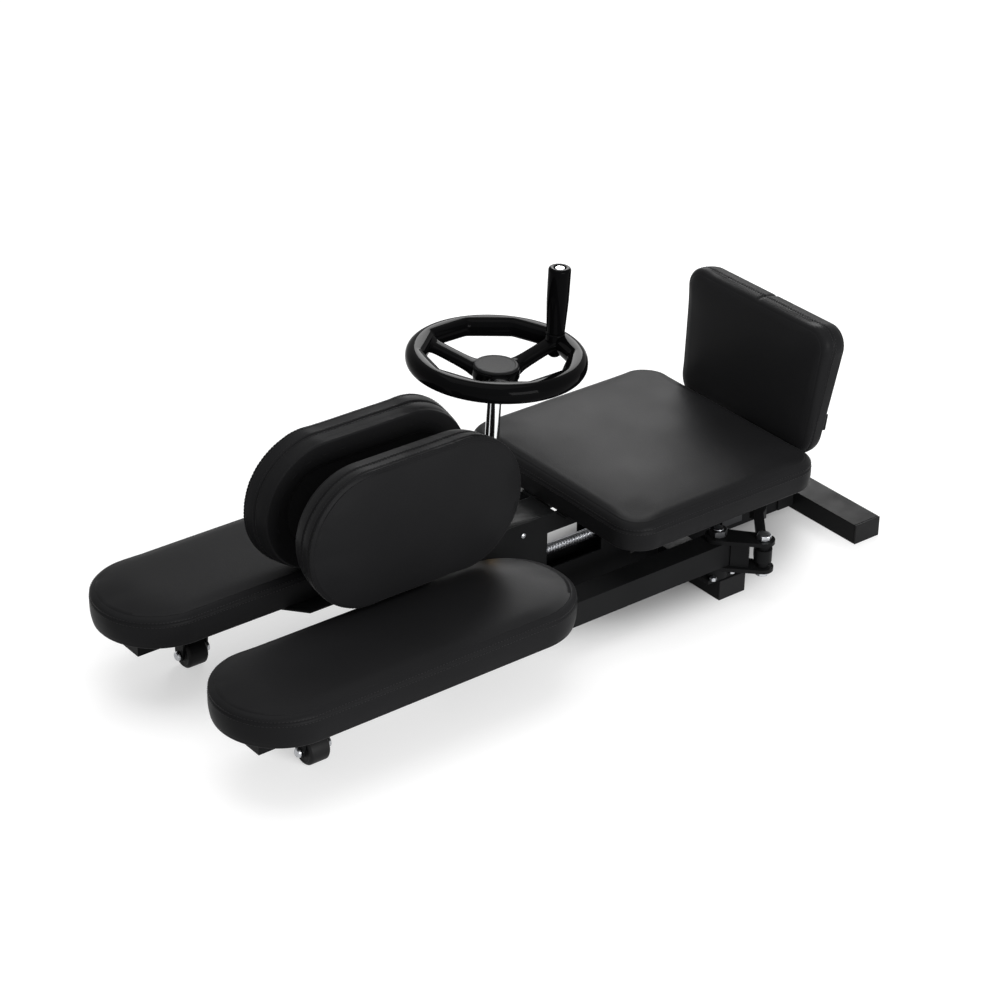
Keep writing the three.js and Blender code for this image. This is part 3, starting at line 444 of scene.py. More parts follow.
def crank_bolt_place(sign, height):
    """The pivot plus the crank's reach at its turn, mirrored by the sign."""
    return np.array([PIVOT_X + CRANK_REACH * math.cos(CRANK_TURN),
                     sign * (PIVOT_Y + CRANK_REACH * math.sin(CRANK_TURN)), height])


for side, sign in (("left", 1), ("right", -1)):
    eased(f"{side}_pivot_pin", paint, "painted", 0.8)
    eased(f"{side}_leg_arm", paint, "painted", 1.0)
    eased(f"{side}_roller_fork", paint, "painted", 0.5)
    eased(f"{side}_upright_bracket", paint, "painted", 0.5)
    waisted(eased(f"{side}_pull_link", paint, "painted", 0.8), crank_bolt_place(sign, SCREW_AXIS_Z),
            np.array([math.cos(LINK_TURN), sign * math.sin(LINK_TURN), 0]))

ARM_TOP, ARM_LOW = 95.0, 57.0
CRANK_HIGH, CRANK_LOW = ARM_TOP + 6, ARM_LOW - 6
NUT_GAP, NUT_TALL, NUT_FLATS, NUT_BORE = 0.3, 10.0, 24.0, 8.3
PIN_TOP, PIN_RADIUS = 113.15, 8.15
PLATE_TOP, PLATE_BOLT_FLATS = 38.3, 9.0
CRANK_FLATS, CRANK_HEAD_TALL = 19.0, 7.5
ROLLER_X = PIVOT_X + 707
ROLLER_RADIUS = 21.0
FORK_FROM, FORK_TO, FORK_HALF, FORK_WELD_THICK = 422.0, 460.0, 13.4, 1.6


HEX_DEPTHS = np.array([0, 0, 0.03, 0.08, 0.14, 0.22, 0.5, 0.78, 0.86, 0.92, 0.97, 1, 1])
HEX_FACE, HEX_CONE = 0.98, 1.9


def hexagon(flats, low, high, bore=0.0, around=72):
    """A nut or bolt head about Z: the radius is flats / 2 over the cosine of the angle from the
    nearest flat's middle, cut at each end by a cone, flats / 2 * HEX_FACE + HEX_CONE * depth."""
    rise = high - low
    depth = HEX_DEPTHS * rise
    turn = np.arange(around) * 2 * np.pi / around
    flat = flats / 2 / np.cos((turn + np.pi / 6) % (np.pi / 3) - np.pi / 6)
    near_end = np.minimum(depth, rise - depth)
    cone = flats / 2 * HEX_FACE + HEX_CONE * near_end
    radius = np.minimum(flat[None, :], cone[:, None])
    radius[[0, -1], :] = bore
    height = low + depth[:, None] + 0 * turn
    return np.stack([radius * np.cos(turn), radius * np.sin(turn), height], -1)


def nylon():
    """Turned nylon with fine rings from the tool and a little dust in the surface."""
    tread = new_material("roller_nylon", (0.009, 0.009, 0.0094), 0.5, ior=1.2)
    dulled(tread, noise_on(tread, 500, 3, (6, 1, 1)), 0.42, 0.6)
    embossed(tread, noise_on(tread, 700, 2, (8, 1, 1)), 2e-5)
    return tread


roller_plastic = nylon()
pivot_nut = hexagon(NUT_FLATS, CRANK_HIGH + NUT_GAP, CRANK_HIGH + NUT_GAP + NUT_TALL, NUT_BORE)
pin_end = turned(rounded([(0, CRANK_HIGH + 4), (PIN_RADIUS, CRANK_HIGH + 4),
                          (PIN_RADIUS, PIN_TOP - 1.15), (7, PIN_TOP), (0, PIN_TOP)], 0.6), 48)
plate_bolt = hexagon(PLATE_BOLT_FLATS, PLATE_TOP - 0.2, PLATE_TOP + 4.6)
crank_bolt = [
    hexagon(CRANK_FLATS, CRANK_HIGH + NUT_GAP, CRANK_HIGH + NUT_GAP + CRANK_HEAD_TALL),
    hexagon(CRANK_FLATS, CRANK_LOW - NUT_GAP - CRANK_HEAD_TALL, CRANK_LOW - NUT_GAP),
    turned(rounded([(0, CRANK_LOW - 10), (6, CRANK_LOW - 10), (6, CRANK_HIGH + 4),
                    (0, CRANK_HIGH + 4)], 0.8), 40),
]
tyre = turned(rounded([(4.3, -16), (9, -16), (10, -15), (15, -15), (16, -16), (18, -16), (21, -13),
                       (21, 13), (18, 16), (16, 16), (15, 15), (10, 15), (9, 16), (4.3, 16),
                       (4.3, -16)], 1.2), 72)
axle = [
    turned(rounded([(0, -27.5), (4, -27.5), (4, 21), (6.9, 21), (6.9, 23.5), (5.5, 25.8), (0, 26)],
                   0.7), 40),
    hexagon(14, -25.8, -20.8),
]
for side, sign in (("left", 1), ("right", -1)):
    pivot, body = (PIVOT_X, sign * PIVOT_Y, 0), f"{side}_leg"
    # The pivot nut takes the steel darkened as painted shade.
    finished(shaped(f"{side}_pivot_nut_shade_darkened", [(placed(pivot_nut, pivot), True)], shade_dark_steel),
             "base", "zinc_steel", f"{side}_pivot_nut")
    bolts = [placed(plate_bolt, (PIVOT_X + x, sign * (PIVOT_Y + y), 0))
             for x in (-18, 18) for y in (-18, 14)]
    finished(shaped(f"{side}_pin_end_and_bolts", [placed(pin_end, pivot), *bolts], zinc),
             "base", "zinc_steel")
    seams = [weld_bead((FORK_FROM, y, ARM_LOW - 0.3), (FORK_TO, y, ARM_LOW - 0.3), FORK_WELD_THICK)
             for y in (sign * (PIVOT_Y - FORK_HALF), sign * (PIVOT_Y + FORK_HALF))]
    finished(shaped(f"{side}_fork_welds_painted", seams, paint, 80), body, "black_steel")
    bolt = [placed(part, crank_bolt_place(sign, 0)) for part in crank_bolt]
    finished(shaped(f"{side}_crank_bolt_plated", bolt, zinc), body, "zinc_steel",
             f"{side}_crank_bolt")
    hub = (ROLLER_X, sign * PIVOT_Y, ROLLER_RADIUS)
    tread, *pins = (placed(part, hub, (1, 0, 0), (0, 1, 0)) for part in (tyre, *axle))
    finished(shaped(f"{side}_roller_turned", [tread], roller_plastic),
             f"{side}_roller_wheel", "black_nylon", f"{side}_roller")
    finished(shaped(f"{side}_roller_axle_plated", pins, zinc), body, "zinc_steel",
             f"{side}_roller_axle")

# Seat
# A plywood board padded with foam and covered in black synthetic leather, sewn from a top panel and
# a side band. The cover is drawn round the board's edge and stapled under a black backing cloth.
BOARD_THICK, BOARD_INSET = 12.0, 8.0
FLAP_WIDE, FLAP_THICK, FLAP_LAP = 26.0, 1.0, 0.4
FOOT_ROUND, FOOT_LIP = 4.0, 1.6
SHOULDER_IN, SHOULDER_TURN = 0.92, 0.46 * np.pi
PAD_CROWN, PAD_BELLY, PAD_WAIST = 5.0, 1.3, 1.5
SEAM_DEEP, SEAM_WIDE = 1.2, 1.3
PAD_COLUMNS = 480
LID_ROWS, LID_OUTER, LID_OUTER_SHARE = 28, 14, 0.86
FREE_ROW = 19
GRAIN_CELLS = 620


def leather_cover():
    """Synthetic leather: small pebbled cells, a soft tonal drift and creases too fine to model."""
    cover = new_material("synthetic_leather", (0.009, 0.009, 0.0095), 0.42, ior=1.11)
    tinted(cover, noise_on(cover, 5, 3), (0.008, 0.008, 0.0084), (0.01, 0.01, 0.0106))
    dulled(cover, noise_on(cover, 14, 2), 0.4, 0.45)
    pebbles = on_piece(cover, "ShaderNodeTexVoronoi", GRAIN_CELLS)
    pebbles.feature = "SMOOTH_F1"
    pebbles.inputs["Smoothness"].default_value = 0.6
    embossed(cover, pebbles.outputs["Distance"], -7e-5)
    embossed(cover, noise_on(cover, 70, 3), 2.5e-5)
    return cover


def backing_cloth():
    """Black spun cloth over the board's underside: a fine random felt."""
    cloth = new_material("backing_cloth", (0.008, 0.008, 0.0084), 0.85, ior=1.15)
    tinted(cloth, noise_on(cloth, 900, 4), (0.0055, 0.0055, 0.0058), (0.011, 0.011, 0.0115))
    embossed(cloth, noise_on(cloth, 1300, 3), 8e-5)
    return cloth


def round_steps(length, width, corner, count):
    """At even steps along a rounded rectangle's outline, the points of the straight-sided frame
    inside its corners and the outward directions, and the outline's length. A point drawn in by d
    is frame + (corner - d) * out."""
    a, b, quarter = length / 2 - corner, width / 2 - corner, np.pi / 2 * corner
    sides = [b, quarter, 2 * a, quarter, 2 * b, quarter, 2 * a, quarter, b]
    marks = np.concatenate([[0], np.cumsum(sides)])
    along = (np.arange(count) + 0.5) * marks[-1] / count
    turn = np.interp(along, marks, np.array([0, 0, 1, 1, 2, 2, 3, 3, 4, 4]) * np.pi / 2)
    x = np.interp(along, marks, a * np.array([1, 1, 1, -1, -1, -1, -1, 1, 1, 1]))
    y = np.interp(along, marks, b * np.array([0, 1, 1, 1, 1, -1, -1, -1, -1, 0]))
    return np.stack([x, y], -1), np.stack([np.cos(turn), np.sin(turn)], -1), marks[-1]


def middle_line(frame_at, length, width):
    """Where each point of the frame lands on the middle line of the pad's long way."""
    half, axis = np.abs(length - width) / 2, 0 if length >= width else 1
    spine = np.zeros_like(frame_at)
    spine[:, axis] = np.clip(frame_at[:, axis], -half, half)
    return spine


def pad_profile(edge, draft, shoulder, pocket):
    """The line of a pad's section from its hidden middle, round the flap and the side up to its
    crown's edge, as rows of inset, height and the share drawn in to the middle."""
    rows = []

    def stretch(count, inset, height, inward=0.0):
        """Adds rows at even steps of t from 0 to 1, each value plain or worked out from t."""
        t = np.linspace(0, 1, count, endpoint=False)
        rows.append(np.stack([value(t) if callable(value) else value + 0 * t
                              for value in (inset, height, inward)], -1))

    fold, roof = pocket + FLAP_WIDE, BOARD_THICK + FLAP_LAP
    low, high = FOOT_ROUND, edge - shoulder
    stretch(3, pocket, roof, lambda t: 1 - t)
    stretch(3, pocket, lambda t: roof - t * (roof - FLAP_THICK))
    stretch(6, lambda t: pocket + t * FLAP_WIDE, FLAP_THICK)
    stretch(3, lambda t: fold + 0.5 * np.sin(np.pi * t),
            lambda t: FLAP_THICK * (0.5 + 0.5 * np.cos(np.pi * t)))
    stretch(10, lambda t: fold + t * (draft + FOOT_ROUND - fold), 0.0)
    stretch(6, lambda t: draft + FOOT_ROUND - (FOOT_ROUND - FOOT_LIP) * np.sin(t * np.pi / 2),
            lambda t: FOOT_ROUND * (1 - np.cos(t * np.pi / 2)))
    stretch(40, lambda t: draft * (1 - t) + FOOT_LIP * (1 - t) ** 3,
            lambda t: low + (high - low) * t)
    stretch(22, lambda t: shoulder * SHOULDER_IN * (1 - np.cos(t * SHOULDER_TURN)),
            lambda t: high + shoulder * np.sin(t * SHOULDER_TURN) / np.sin(SHOULDER_TURN))
    return np.concatenate(rows)


def straight_share(out, around):
    """One beside the straight sides and zero beside the corners, blurred over 30 mm each way."""
    straight = (np.abs(out).max(1) > 0.999).astype(float)
    window = np.hanning(2 * int(PAD_COLUMNS * 30 / around) + 3)
    kernel = np.pad(window / window.sum(), (0, PAD_COLUMNS - len(window)))
    kernel = np.roll(kernel, -(len(window) // 2))
    return np.real(np.fft.ifft(np.fft.fft(straight) * np.fft.fft(kernel)))


def stitched_pad(length, width, corner, tall, seams, shoulder=11.0, draft=0.0, flat_in=110.0,
                 seed=1):
    """A pad's points, as rows from its hidden middle over the outside to its crown and columns
    round it. The crown's height is one less the cube of N, the n-norm of how far a point is from
    the flat middle; seams are narrow valleys, and the cover puckers beside them."""
    pocket = BOARD_INSET + draft - FLAP_LAP
    edge = tall - PAD_CROWN
    profile = pad_profile(edge, draft, shoulder, pocket)
    frame_at, out, around = round_steps(length, width, corner, PAD_COLUMNS)
    inset, height, inward = (profile[:, i, None] for i in range(3))
    rise = np.clip((height - 2.0) / 6.0, 0, 1) * np.clip((edge - height) / 3.0 + 1, 0, 1)
    rise = rise * (inset < shoulder + draft + 3) * (inset < pocket)
    marks = np.array([0.0, *seams, edge])
    puff = 0 * height
    for low, high in zip(marks, marks[1:]):
        share = np.clip((height - low) / (high - low), 0, 1)
        puff = puff + np.where((height >= low) & (height < high), np.sin(np.pi * share), 0)
    valley = sum(np.exp(-((height - seam) / SEAM_WIDE) ** 2) for seam in seams)
    straight = straight_share(out, around)[None, :]
    slack = PAD_WAIST * straight * np.clip(puff, 0.3, 1)
    drawn = SEAM_DEEP * valley - PAD_BELLY * puff * 0.6 + slack
    inset = inset + rise * drawn
    frame_grid = frame_at[None] + (corner - inset)[..., None] * out[None]
    spine = middle_line(frame_at, length, width)
    flat = frame_grid * (1 - inward[..., None]) + spine[None] * inward[..., None]
    start = profile[-1, 0] + shoulder * SHOULDER_IN * 0.02
    reach = min(corner, min(length, width) / 2) * LID_OUTER_SHARE
    outer = np.linspace(start, reach, LID_OUTER)
    last = frame_at[None] + (corner - outer)[:, None, None] * out[None]
    share = np.linspace(0, 1, LID_ROWS - LID_OUTER + 1)[1:, None, None]
    top = np.concatenate([last, last[-1:] * (1 - share) + spine[None] * share])
    far = min(flat_in, min(length, width) / 2 - start)
    half = np.array([length / 2 - start, width / 2 - start])
    near = np.clip((half - np.abs(top)) / far, 0, 1)
    power = math.log(2) / -math.log(1 - 0.2929 * min(0.999, (corner - start) / far))
    norm = np.clip(((1 - near) ** power).sum(-1) ** (1 / power), 0, 1)
    crowned = edge + PAD_CROWN * (1 - norm ** 3)
    body = np.concatenate([flat, (height + 0 * inset)[..., None]], -1)
    lid = np.concatenate([top, crowned[..., None]], -1)
    return puckered(np.concatenate([body, lid]), seams, edge, around, seed)


SHORT_WAVES, LONG_WAVES = (13, 17, 22, 27), (90, 140, 230)
SHORT_DEEP, SHORT_FADE = 0.14, 4.5
LONG_DEEP, LONG_FADE = 0.3, 18


def puckered(grid, seams, edge, around, seed):
    """Moves each point along its normal by small waves: long ones all over the outside, and short
    ones, 13 to 27 mm long, that fade within 9 mm of a seam."""
    chance = np.random.default_rng(seed)
    along = np.arange(grid.shape[1]) / grid.shape[1]

    def waves(lengths):
        """A sum of sines round the pad, near those lengths, with chance sizes and starts."""
        total = 0 * along
        for wave in lengths:
            size, count = chance.uniform(0.4, 1), round(around / wave)
            total = total + size * np.sin(2 * np.pi * (count * along + chance.random()))
        return total

    down = np.roll(grid, -1, 0) - np.roll(grid, 1, 0)
    beside = np.roll(grid, -1, 1) - np.roll(grid, 1, 1)
    normal = np.cross(beside, down)
    normal = normal / np.maximum(np.linalg.norm(normal, axis=-1, keepdims=True), 1e-9)
    height = grid[..., 2]
    outside = height > 3.0
    outside[:12] = False
    outside[-LID_ROWS:] = False
    short, long = waves(SHORT_WAVES), waves(LONG_WAVES)
    patch = 0.5 + 0.5 * np.sin(2 * np.pi * (3 * along + chance.random()))
    near = sum(np.exp(-np.abs(height - seam) / SHORT_FADE) for seam in (*seams, FOOT_ROUND))
    middle = np.exp(-np.abs(height - edge / 2) / LONG_FADE)
    move = SHORT_DEEP * short * patch * near + LONG_DEEP * long * middle
    side = np.abs(normal[..., 2]) < 0.8
    return grid + normal * (move * outside * side)[..., None]


STITCH_OFF, STITCH_PITCH, STITCH_LONG, STITCH_THICK = 3.2, 5.0, 3.4, 0.42
STAPLE_PITCH, STAPLE_LONG, STAPLE_THICK = 27.0, 11.0, 0.5


def stitch_row(grid, seam, offset):
    """The line of the pad's surface at a height offset from a seam, as a row of thread capsules."""
    rows = np.arange(FREE_ROW, grid.shape[0] - 20)
    row = rows[np.argmin(np.abs(grid[rows, 0, 2] - seam - offset))]
    return capsules(grid[row], STITCH_PITCH, STITCH_LONG, STITCH_THICK)


def staple_row(length, width, corner, draft=0.0):
    """Wire staples through the cover's flap, in the middle of its width under the board's edge."""
    frame_at, out, _ = round_steps(length, width, corner, PAD_COLUMNS)
    line = frame_at + (corner - BOARD_INSET - draft - FLAP_WIDE * 0.45) * out
    line = np.concatenate([line, 0 * line[:, :1] - 0.1], -1)
    return capsules(line, STAPLE_PITCH, STAPLE_LONG, STAPLE_THICK)


def capsules(line, pitch, long, thick):
    """Short wires along a closed line, each a tube of four rings of five points, closed."""
    step = np.linalg.norm(np.roll(line, -1, 0) - line, axis=1)
    marks = np.concatenate([[0], np.cumsum(step)])
    count = int(marks[-1] / pitch)
    middle = (np.arange(count) + 0.5) * marks[-1] / count
    ends = middle[:, None] + np.array([-0.5, -0.3, 0.3, 0.5]) * long
    closed = np.concatenate([line, line[:1]])
    centre = np.stack([np.interp(ends % marks[-1], marks, closed[:, i]) for i in range(3)], -1)
    ahead = centre[:, -1] - centre[:, 0]
    ahead /= np.linalg.norm(ahead, axis=-1, keepdims=True)
    up = np.array([0, 0, 1.0])
    across = np.cross(ahead, up)[:, None, None]
    size = thick * np.array([0, 1, 1, 0])[None, :, None, None]
    turn = (np.arange(5) * 2 * np.pi / 5)[:, None]
    ring = across * np.cos(turn) + up * np.sin(turn)
    return list(centre[:, :, None] + across * thick * 0.4 + ring * size)


def thread_finish():
    """Black polyester thread, slightly glossier than the cover."""
    return new_material("sewing_thread", (0.01, 0.01, 0.0105), 0.4, ior=1.2)


def board_slab(length, width, corner, draft=0.0):
    """A flat board with eased edges, its underside at the flap's depth, as a skin of points."""
    inset = BOARD_INSET + draft
    frame_at, out, _ = round_steps(length, width, corner, 160)
    profile = [(inset + 30, FLAP_THICK + 0.1), (inset + 1, FLAP_THICK + 0.1),
               (inset + 0.3, FLAP_THICK + 0.4), (inset, FLAP_THICK + 1),
               (inset, BOARD_THICK - 1), (inset + 0.3, BOARD_THICK - 0.3),
               (inset + 1, BOARD_THICK), (inset + 30, BOARD_THICK)]
    drawn, height = (np.array(profile)[:, i, None] for i in range(2))
    flat = frame_at[None] + (corner - drawn)[..., None] * out[None]
    shell = np.concatenate([flat, (height + 0 * frame_at[None, :, 0])[..., None]], -1)
    spine = shell[[0, -1]].copy()
    spine[..., :2] = middle_line(frame_at, length, width)
    return np.concatenate([spine[:1], shell, spine[1:]])


leather = leather_cover()
felt = backing_cloth()
thread = thread_finish()


COARSE_START, COARSE_STEP = 2, 5
FOLD_ROWS = (0, 6, 14)
SETTLE_FRAMES, SETTLE_CAP = 20, 2.6
WRINKLE_SHARE, ROUND_WINDOW = 0.22, 13
LID_BLUR, LID_FADE_ROWS = 13.0, 7


def cloth_run(points, faces, held):
    """The points, in millimetres, after some frames as cloth with pressure inside, held points
    fixed."""
    mesh = bpy.data.meshes.new("settling_cover")
    mesh.from_pydata((points * MM).tolist(), [], faces)
    trial = bpy.data.objects.new("settling_cover", mesh)
    bpy.context.scene.collection.objects.link(trial)
    group = trial.vertex_groups.new(name="held")
    group.add(held, 1.0, "REPLACE")
    cloth = trial.modifiers.new("settling", "CLOTH")
    cloth.settings.quality = 4
    cloth.settings.mass = 0.4
    cloth.settings.tension_stiffness = cloth.settings.compression_stiffness = 30
    cloth.settings.shear_stiffness = 12
    cloth.settings.bending_stiffness = 4
    cloth.settings.vertex_group_mass = "held"
    cloth.settings.use_pressure = True
    cloth.settings.uniform_pressure_force = 4.0
    cloth.settings.effector_weights.gravity = 0
    cloth.collision_settings.use_collision = False
    cloth.point_cache.frame_start, cloth.point_cache.frame_end = 1, SETTLE_FRAMES
    for frame_number in range(1, SETTLE_FRAMES + 1):
        bpy.context.scene.frame_set(frame_number)
    result = trial.evaluated_get(bpy.context.evaluated_depsgraph_get()).data
    after = np.empty(len(points) * 3, np.float32)
    result.vertices.foreach_get("co", after)
    bpy.data.objects.remove(trial)
    bpy.data.meshes.remove(mesh)
    bpy.context.scene.frame_set(1)
    return after.reshape(-1, 3) / MM


def coarse_rows(grid, seams):
    """The rows of the grid that are run as cloth, and those of them that lie in a seam."""
    outside = np.arange(FREE_ROW, len(grid))
    lid = len(grid) - LID_ROWS
    above = (outside >= lid - 2) * 99
    heights = grid[outside, 0, 2]
    in_seams = [int(outside[np.argmin(np.abs(heights - seam) + above)]) for seam in seams]
    rows = np.unique([*FOLD_ROWS, *range(FREE_ROW, lid - 1, 4), *in_seams,
                      *range(lid - 1, len(grid), 2), len(grid) - 1])
    return rows, in_seams


def settled(grid, seams):
    """The cover let go over its foam: every fifth column of the grid, and the rows above, are run
    as cloth with pressure inside, held at the underside and the seams. Each point's move m becomes
    cap * tanh(|m| / cap) along m, then mostly the mean of its neighbours round the pad, with a
    share of wrinkle left, and is spread to the fine grid in straight lines between the points.
    On the crown it is the mean of all the points there weighted by exp(-distance^2 / 2 blur^2)."""
    lid = len(grid) - LID_ROWS
    rows, in_seams = coarse_rows(grid, seams)
    coarse = grid[rows][:, COARSE_START::COARSE_STEP]
    count = coarse.shape[1]
    points, merged = np.unique(np.round(coarse.reshape(-1, 3), 3), axis=0, return_inverse=True)
    merged = merged.ravel()
    corners = merged[grid_faces(len(rows), count)]
    far_met, near_met = corners[:, 2] == corners[:, 3], corners[:, 0] == corners[:, 1]
    faces = (corners[~far_met & ~near_met].tolist() + corners[far_met & ~near_met][:, :3].tolist()
             + corners[near_met & ~far_met][:, [0, 2, 3]].tolist())
    held = (coarse[..., 2] < 3.0) | (rows[:, None] < FREE_ROW) | np.isin(rows, in_seams)[:, None]
    after = cloth_run(points, faces, np.unique(merged[held.ravel()]).tolist())
    move = (after - points)[merged].reshape(len(rows), count, 3)
    size = np.linalg.norm(move, axis=-1, keepdims=True)
    move = move * SETTLE_CAP * np.tanh(size / SETTLE_CAP) / np.maximum(size, 1e-9)
    top = rows >= lid
    spots, top_move = coarse[top][..., :2].reshape(-1, 2), move[top].reshape(-1, 3)
    window = np.hanning(ROUND_WINDOW) / np.hanning(ROUND_WINDOW).sum()
    mean = sum(part * np.roll(move, shift - ROUND_WINDOW // 2, 1)
               for shift, part in enumerate(window))
    move = move + (mean - move) * (1 - WRINKLE_SHARE)
    at = np.interp(np.arange(len(grid)), rows, np.arange(len(rows)))
    low, share = np.floor(at).astype(int), (at % 1)[:, None, None]
    move = move[low] * (1 - share) + move[np.minimum(low + 1, len(rows) - 1)] * share
    beside = ((np.arange(grid.shape[1]) - COARSE_START) / COARSE_STEP) % count
    low, share = np.floor(beside).astype(int), (beside % 1)[None, :, None]
    move = move[:, low % count] * (1 - share) + move[:, (low + 1) % count] * share
    move = (np.roll(move, 1, 1) + 2 * move + np.roll(move, -1, 1)) / 4
    flat = grid[lid:, :, :2].reshape(-1, 1, 2)
    near = np.exp(-((flat - spots) ** 2).sum(-1) / (2 * LID_BLUR ** 2))
    even = (near @ top_move / near.sum(1, keepdims=True)).reshape(LID_ROWS, -1, 3)
    inward = np.clip(np.arange(LID_ROWS) / LID_FADE_ROWS, 0, 1)[:, None, None]
    move[lid:] = move[lid:] * (1 - inward) + even * inward
    return grid + move


def upholstered(name, body, lay, board, pad, seams, fill, **sizes):
    """Makes a pad's cover, thread, staples and board in its flat frame, laid in their place."""
    grid = settled(stitched_pad(seams=seams, **sizes), seams)
    cover = finished(shaped(f"{name}_cover", [lay(grid)], leather, 60), body, "black_vinyl", pad)
    rows = [part for seam in seams for offset in (-STITCH_OFF, STITCH_OFF)
            for part in stitch_row(grid, seam, offset)]
    finished(shaped(f"{name}_thread", [lay(part) for part in rows], thread), body, "black_vinyl")
    cut = {key: sizes[key] for key in ("length", "width", "corner", "draft") if key in sizes}
    wires = [lay(part) for part in staple_row(**cut)]
    finished(shaped(f"{name}_staples", wires, paint), body, "black_steel")
    slab = lay(board_slab(**cut))
    finished(shaped(f"{name}_backing", [slab], felt), body, "backed_board", board)


SEAT_MIDDLE_X, SEAT_LOW_Z = -242.0, 153.5
upholstered("seat", "base", lambda grid: grid + np.array([SEAT_MIDDLE_X, 0, SEAT_LOW_Z]),
            "seat_board", "seat_pad", [31.0], 0.7, length=360.0, width=390.0, corner=46.0,
            tall=47.5, flat_in=150.0, seed=3)

# Backrest
# The same kind of pad stood up on a stepped post of square tube with a flat crossbar behind it. It
# narrows and thins toward the seat, and leans back nine degrees.
BACK_FACE_X, BACK_LOW_Z = -463.311, 157.2
BACK_TALL, BACK_THICK = 207.5, 48.0
BACK_LEAN = math.radians(9)
BACK_NARROW_SHARE, BACK_THIN_SHARE = 0.107, 0.35
TUCK_DEEP, TUCK_WIDE, TUCK_REACH = 1.8, 2.6, 14.0


def stood_up(grid):
    """A flat pad's length turned upward, tucked in at the middle of its top edge by deep * exp of
    -(y / wide) squared, narrowed and thinned toward its lower end, then leant back."""
    x, y, z = grid[..., 2], -grid[..., 1], grid[..., 0] + BACK_TALL / 2
    near_top = np.clip((z - BACK_TALL + TUCK_REACH) / TUCK_REACH, 0, 1)
    z = z - TUCK_DEEP * np.exp(-(y / TUCK_WIDE) ** 2) * near_top
    down = 1 - z / BACK_TALL
    ahead = np.maximum(0, x - BOARD_THICK - 1) / (BACK_THICK - BOARD_THICK - 1)
    x = x - ahead * down * BACK_THIN_SHARE * BACK_THICK
    y = y * (1 - down * BACK_NARROW_SHARE)
    lean_x = BACK_FACE_X + x * math.cos(BACK_LEAN) - z * math.sin(BACK_LEAN)
    lean_z = BACK_LOW_Z + x * math.sin(BACK_LEAN) + z * math.cos(BACK_LEAN)
    return np.stack([lean_x, y, lean_z], -1)


eased("back_post", paint, "painted", 1.5)
eased("back_crossbar", paint, "painted", 1.0)
upholstered("backrest", "base", stood_up, "backrest_board", "backrest_pad", [24.0], 0.75,
            length=BACK_TALL, width=308.0, corner=36.0, tall=BACK_THICK, flat_in=80.0, seed=5)

# Leg pads and upright pads
# A long pad with round ends lies along each arm, and another stands between the legs on a folded
# bracket. All are made as the seat is, with the side band sewn near the top of the leg pads.
LEG_PAD_LONG, LEG_PAD_WIDE = 558.0, 186.0
LEG_PAD_X, LEG_PAD_Z = PIVOT_X + 290 + LEG_PAD_LONG / 2, 98.6
UPRIGHT_LONG, UPRIGHT_WIDE = 350.0, 204.0
UPRIGHT_X, UPRIGHT_Y, UPRIGHT_Z = PIVOT_X + 484, 33.0, 253.5
for side, sign in (("left", 1), ("right", -1)):
    def laid(grid, sign=sign):
        """A flat pad on top of its arm, mirrored for the right leg."""
        return grid * np.array([1, sign, 1]) + np.array([LEG_PAD_X, sign * PIVOT_Y, LEG_PAD_Z])

    def stood(grid, sign=sign):
        """A flat pad on its long edge, its underside toward the middle plane."""
        across = (grid[..., 2] + UPRIGHT_Y) * sign
        return np.stack([grid[..., 0] + UPRIGHT_X, across, UPRIGHT_Z - grid[..., 1]], -1)

    upholstered(f"{side}_leg_rest", f"{side}_leg", laid, f"{side}_leg_board",
                f"{side}_leg_pad", [38.0], 0.75, length=LEG_PAD_LONG, width=LEG_PAD_WIDE,
                corner=LEG_PAD_WIDE / 2, tall=52.0, flat_in=80.0, seed=7 if sign > 0 else 8)
    upholstered(f"{side}_upright", f"{side}_leg", stood, f"{side}_upright_board",
                f"{side}_upright_pad", [23.0, 42.0], 0.75, length=UPRIGHT_LONG,
                width=UPRIGHT_WIDE, corner=UPRIGHT_WIDE / 2, tall=53.0, shoulder=6.0, draft=5.5,
                flat_in=90.0, seed=11 if sign > 0 else 12)

# Steering
# A chrome shaft rises from the housing to a moulded handwheel with three spokes and ten finger
# flats inside its rim. A turned grip spins on a screwed spindle in the rim's boss.
WHEEL_CENTRE = (27.5, 0.0, 410.0)
SHAFT_LEAN = math.radians(2.8)
SHAFT_UP = (-math.sin(SHAFT_LEAN), 0.0, math.cos(SHAFT_LEAN))
SHAFT_AHEAD = (math.cos(SHAFT_LEAN), 0.0, math.sin(SHAFT_LEAN))
WHEEL_RADIUS, RIM_DEEP, RIM_TALL = 125.0, 27.0, 28.0
RIM_MIDDLE, RIM_POWER = WHEEL_RADIUS - RIM_DEEP / 2, 0.9
FLAT_COUNT, FLAT_START, FLAT_BLUR = 10, math.radians(4), 7
FLAT_FROM, FLAT_GAIN = 0.2, 1.7
SPOKE_RISE, SPOKE_SLOPE, SPOKE_POWER = 4.0, 24.0 / 78.5, 0.62
SPOKE_FROM, HUB_EDGE = 26.0, 33.0
FLUTE_DEEP = 1.3
SHAFT_LOW, SHAFT_STEP, SHAFT_TOP = -322.4, -292.4, -18.8
HANDLE_REACH = 102.0


def on_shaft(grid):
    """From the handwheel's own frame, with Z up the shaft, to the machine's."""
    return placed(grid, WHEEL_CENTRE, SHAFT_UP, SHAFT_AHEAD)


def polished_black():
    """Polished moulding: deep black with faint ripples in the gloss and fine handling marks."""
    gloss = new_material("polished_black", (0.002, 0.002, 0.0022), 0.06, ior=1.075)
    dulled(gloss, noise_on(gloss, 70, 5), 0.045, 0.085)
    embossed(gloss, noise_on(gloss, 55), 2e-5)
    return gloss


